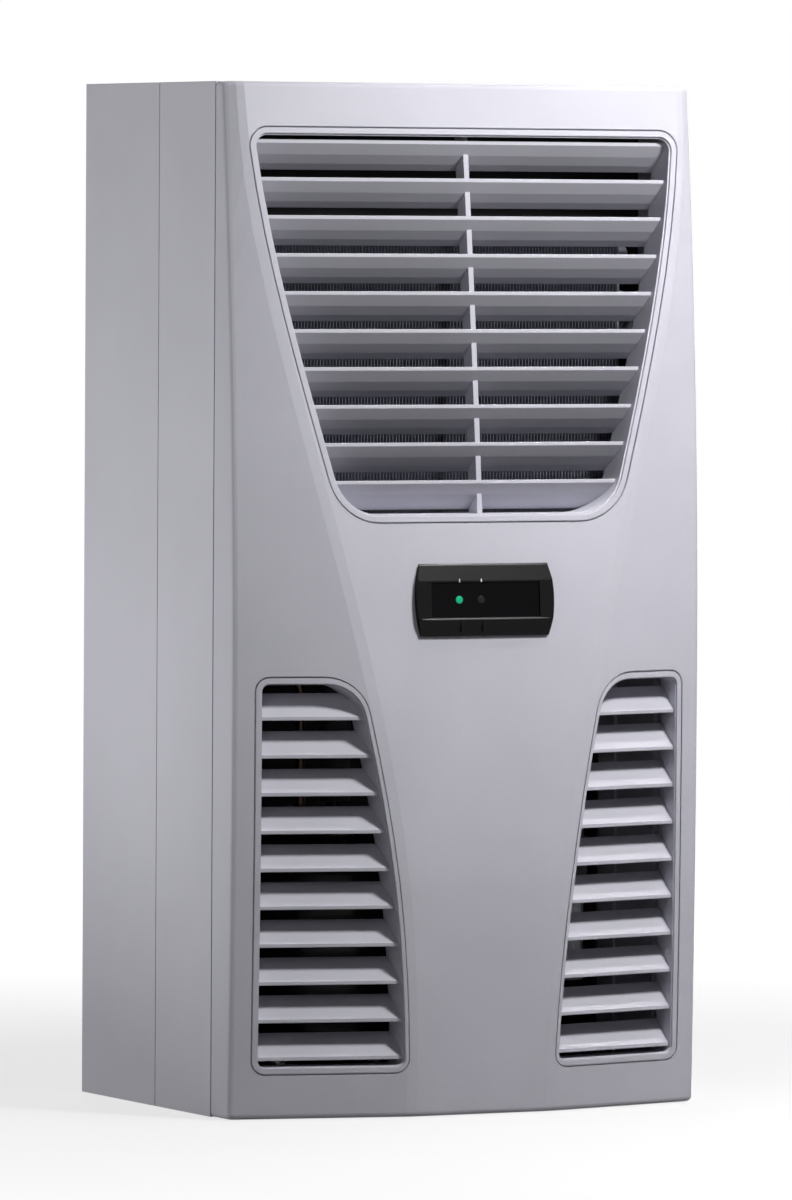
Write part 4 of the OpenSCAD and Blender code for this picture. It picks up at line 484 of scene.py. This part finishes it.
def solid_boxes(node):
    """Lowest and highest corner of each separate solid of a node."""
    mesh = NODES[node].data
    group = list(range(len(mesh.vertices)))

    def root(i):
        while group[i] != i:
            group[i] = group[group[i]]
            i = group[i]
        return i

    for edge in mesh.edges:
        a, b = root(edge.vertices[0]), root(edge.vertices[1])
        group[max(a, b)] = min(a, b)
    corners = {}
    for i, vertex in enumerate(mesh.vertices):
        corners.setdefault(root(i), []).append(vertex.co)
    boxes = []
    for points in corners.values():
        low = Vector([min(p[k] for p in points) for k in range(3)])
        high = Vector([max(p[k] for p in points) for k in range(3)])
        for other in boxes:
            far = max(max(low[k] - other[1][k], other[0][k] - high[k]) for k in range(3))
            if far <= SAME_SOLID:
                other[0] = Vector([min(a, b) for a, b in zip(low, other[0])])
                other[1] = Vector([max(a, b) for a, b in zip(high, other[1])])
                break
        else:
            boxes.append([low, high])
    return boxes


def cover_screw_set(name, node):
    """Screws that stand upright: the head of each is its end farther from the middle of the object."""
    bm = bmesh.new()
    for low, high in solid_boxes(node):
        middle = (low + high) / 2
        up = middle.z > 0
        base = Vector((middle.x, middle.y, high.z - SCREW_HEAD_H if up else low.z + SCREW_HEAD_H))
        place = Matrix.Translation(base) @ Matrix.Rotation(0.0 if up else math.pi, 4, "X")
        turn = Matrix.Rotation(SCREW_TURN_X * middle.x + SCREW_TURN_Z * middle.z, 4, "Z")
        length = high.z - low.z - SCREW_HEAD_H
        screw(bm, place @ turn, (high.x - low.x) / 2, SCREW_HEAD_H, SCREW_SHANK_R, length)
    stand_in(name, mesh_of(name, bm), [LOOKS[SLOT_OF[node]]], node)


cover_screw_set("cross_head_screws", "cover_screws")


# Display: lamp lenses through the window, a tick above each of them, and beads along the bezel
LAMP_X = (-15.6 * MM, -2.6 * MM)
LENS_R = 2.1 * MM
LENS_RISE = 0.45 * MM
DOME_STEPS = 8
# Pairs of height over the window and share of the lens radius
LENS_FOOT = ((-6.0 * MM, 0.9), (-5.7 * MM, 1.0), (-0.02 * MM, 1.0))
TICK_HALF_W = 0.35 * MM
TICK_HALF_H = 0.95 * MM
TICK_UP = 10.2 * MM
# Pairs of height over the window and inset, from a tick's foot in the bezel to its top
TICK_LEVELS = ((0.6 * MM, 0.0), (0.884 * MM, 0.0), (0.92 * MM, 0.12 * MM))
TICK_STEPS = 16
# Sine under which a point of a tick's ring counts as level with its middle
LEVEL_SINE = 1e-6
# Half length, height, stand off the window and radius of the bead on the upper rim and of the one below
BEADS = (
    (39.0 * MM, 18.5 * MM, -1.45 * MM, 0.75 * MM),
    (38.5 * MM, -10.3 * MM, 0.75 * MM, 0.5 * MM),
)
BEAD_SPANS = 24
BEAD_STEPS = 12
# Thickness over width, least radius at the ends as a share, and the power that keeps the middle even
BEAD_FLAT = 0.7
BEAD_END = 0.25
BEAD_TAPER = 6
# A face looks forward when its normal's Y is under this
FORWARD_Y = -0.7
ON_FACE = 0.05 * MM


def face_frame(node):
    """Matrix at the middle of a node's largest forward face: local Z points out of it, local Y up."""
    mesh = NODES[node].data
    mesh.calc_loop_triangles()
    front = [f for f in mesh.loop_triangles if f.normal.y < FORWARD_Y]
    out = max(front, key=lambda f: f.area).normal.copy()
    reach = max(v.co.dot(out) for v in mesh.vertices)
    face = [v.co for v in mesh.vertices if v.co.dot(out) > reach - ON_FACE]
    side = Vector((1.0, 0.0, 0.0))
    placed = Matrix((side, out.cross(side), out)).transposed().to_4x4()
    placed.translation = sum(face, Vector()) / len(face)
    return placed


def lamp_lenses(window):
    """Two domed lenses whose feet go down through the window."""
    bm = bmesh.new()
    for index, x in enumerate(LAMP_X):
        profile = [(z, share * LENS_R) for z, share in LENS_FOOT]
        for k in range(1, DOME_STEPS):
            a = k / DOME_STEPS * math.pi / 2
            profile.append((LENS_RISE * math.sin(a), LENS_R * math.cos(a)))
        rows = skin_rings(bm, lathe_rings(profile, window @ Matrix.Translation((x, 0.0, 0.0))))
        lens = {v for row in rows for v in row}
        for face in bm.faces:
            if face.verts[0] in lens:
                face.material_index = index
    mesh = mesh_of("lamp_lenses", bm, smooth=True)
    stand_in("lamp_lenses", mesh, [LOOKS["lamp_green"], DARK_LENS], "indicator_lamps")


def lamp_ticks(window):
    """Two short white strokes with rounded ends, inlaid in the bezel above the lamps."""
    bm = bmesh.new()
    for x in LAMP_X:
        rings = []
        for z, inset in TICK_LEVELS:
            ring = []
            for k in range(TICK_STEPS):
                a = math.tau * k / TICK_STEPS
                level = abs(math.sin(a)) < LEVEL_SINE
                end = 0.0 if level else math.copysign(TICK_HALF_H - TICK_HALF_W, math.sin(a))
                across = x + (TICK_HALF_W - inset) * math.cos(a)
                up = TICK_UP + end + (TICK_HALF_W - inset) * math.sin(a)
                ring.append(window @ Vector((across, up, z)))
            rings.append(ring)
        skin_rings(bm, rings)
    mesh = mesh_of("lamp_ticks", bm)
    piece = add_piece("lamp_ticks", mesh, [TICK_WHITE], BODY_OF["display_bezel"])


def bezel_beads(window):
    """Rounded beads that taper at both ends."""
    bm = bmesh.new()
    for half, up, out, radius in BEADS:
        rings = []
        for k in range(BEAD_SPANS + 1):
            x = half * math.sin(math.pi * (k / BEAD_SPANS - 0.5))
            taper = math.sqrt(max(0.0, 1.0 - (x / half) ** BEAD_TAPER))
            thin = radius * max(BEAD_END, taper)
            ring = []
            for j in range(BEAD_STEPS):
                a = math.tau * j / BEAD_STEPS
                lift = out + BEAD_FLAT * thin * math.sin(a)
                ring.append(window @ Vector((x, up + thin * math.cos(a), lift)))
            rings.append(ring)
        skin_rings(bm, rings)
    mesh = mesh_of("bezel_beads", bm, smooth=True)
    piece = add_piece("bezel_beads", mesh, [BEAD_BLACK], BODY_OF["display_bezel"])


window_face = face_frame("display_window")
lamp_lenses(window_face)
lamp_ticks(window_face)
bezel_beads(window_face)


# Floor, light and background
FLOOR_COLOUR = (0.22, 0.22, 0.22, 1.0)
FLOOR_ROUGH = 0.9
FLOOR_HALF = 30.0
FLOOR_GAP = 0.5 * MM
# The floor's glow by the object, where it is kept low as a painted shade round the object, and far from
# it, and the distances in metres between which it grows
FLOOR_GLOW_AND_SHADE = (0.72, 1.0)
PAINTED_SHADE_REACH = (0.25, 1.1)
WHITE = (1.0, 1.0, 1.0, 1.0)
AMBIENT_COLOUR = (0.94, 0.95, 1.0, 1.0)
AMBIENT = 0.02


def math_node(tree, operation, first, second):
    made = tree.nodes.new("ShaderNodeMath")
    made.operation = operation
    for socket, value in zip(made.inputs, (first, second)):
        tree.links.new(value, socket)
    return made.outputs["Value"]


def rays_that_see(tree):
    """One for the rays that show the white background: to the camera, in gloss and through glass."""
    path = tree.nodes.new("ShaderNodeLightPath").outputs
    seen = math_node(tree, "MAXIMUM", path["Is Camera Ray"], path["Is Glossy Ray"])
    return math_node(tree, "MAXIMUM", seen, path["Is Transmission Ray"])


def add_stage():
    """A pale floor with a painted shade round the object, where its glow is dimmer, that turns white
    away from the object and keeps its shadow.
    """
    s = Shader("floor")
    reach = s.node("ShaderNodeVectorMath")
    reach.operation = "LENGTH"
    s.feed(reach.inputs[0], s.place)
    # Painted shade: the glow is dimmer by the object, so that the floor looks shaded round it
    glow = s.ramp(reach.outputs["Value"], *FLOOR_GLOW_AND_SHADE, *PAINTED_SHADE_REACH)
    glow = math_node(s.tree, "MULTIPLY", rays_that_see(s.tree), glow)
    s.set(Base_Color=FLOOR_COLOUR, Roughness=FLOOR_ROUGH, Specular_IOR_Level=0.0)
    s.set(Emission_Color=WHITE, Emission_Strength=glow)
    mesh = bpy.data.meshes.new("floor")
    half = FLOOR_HALF
    corners = [(-half, -half, 0), (half, -half, 0), (half, half, 0), (-half, half, 0)]
    mesh.from_pydata(corners, [], [(0, 1, 2, 3)])
    mesh.materials.append(s.material)
    floor = bpy.data.objects.new("floor", mesh)
    floor.location.z = -HALF_HEIGHT - FLOOR_GAP
    scene.collection.objects.link(floor)


def add_world():
    """White to the camera, in gloss and through glass, and a weak even light for all other rays."""
    world = bpy.data.worlds.new("world")
    scene.world = world
    world.use_nodes = True
    tree = world.node_tree
    tree.nodes.clear()
    mix = tree.nodes.new("ShaderNodeMixShader")
    tree.links.new(rays_that_see(tree), mix.inputs["Fac"])
    ambient = (mix.inputs[1], AMBIENT_COLOUR, AMBIENT)
    white = (mix.inputs[2], WHITE, 1.0)
    for socket, colour, strength in (ambient, white):
        light = tree.nodes.new("ShaderNodeBackground")
        light.inputs["Color"].default_value = colour
        light.inputs["Strength"].default_value = strength
        tree.links.new(light.outputs["Background"], socket)
    out = tree.nodes.new("ShaderNodeOutputWorld")
    tree.links.new(mix.outputs["Shader"], out.inputs["Surface"])


def area_light(name, place, aim, side, power, spread):
    data = bpy.data.lights.new(name, "AREA")
    data.shape = "RECTANGLE"
    data.size = data.size_y = side
    data.energy = power
    data.spread = math.radians(spread)
    light = bpy.data.objects.new(name, data)
    light.location = place
    direction = Vector(aim) - Vector(place)
    light.rotation_euler = direction.to_track_quat("-Z", "Y").to_euler()
    light.visible_camera = False
    scene.collection.objects.link(light)


# Name, place, aim, side in metres, power in watts, spread in degrees
LAMPS = (
    ("key", (0.21, -0.71, 0.58), (0.32, -0.20, -0.30), 0.14, 6.8, 180.0),
    ("top", (0.35, -0.50, 1.60), (0.12, -0.22, -0.60), 0.10, 0.36, 30.0),
    ("side", (-1.60, 0.60, 0.10), (-0.14, -0.05, 0.00), 0.80, 10.5, 180.0),
    ("side_near", (-0.42, -0.027, -0.147), (-0.20, -0.173, 0.50), 0.12, 0.44, 180.0),
    ("facet", (-0.55, -0.75, 0.35), (-0.08, -0.18, 0.16), 0.35, 0.11, 70.0),
    ("rear", (0.60, 1.50, 0.90), (0.00, 0.00, 0.00), 0.60, 9.0, 180.0),
)

add_stage()
add_world()
for lamp in LAMPS:
    area_light(*lamp)
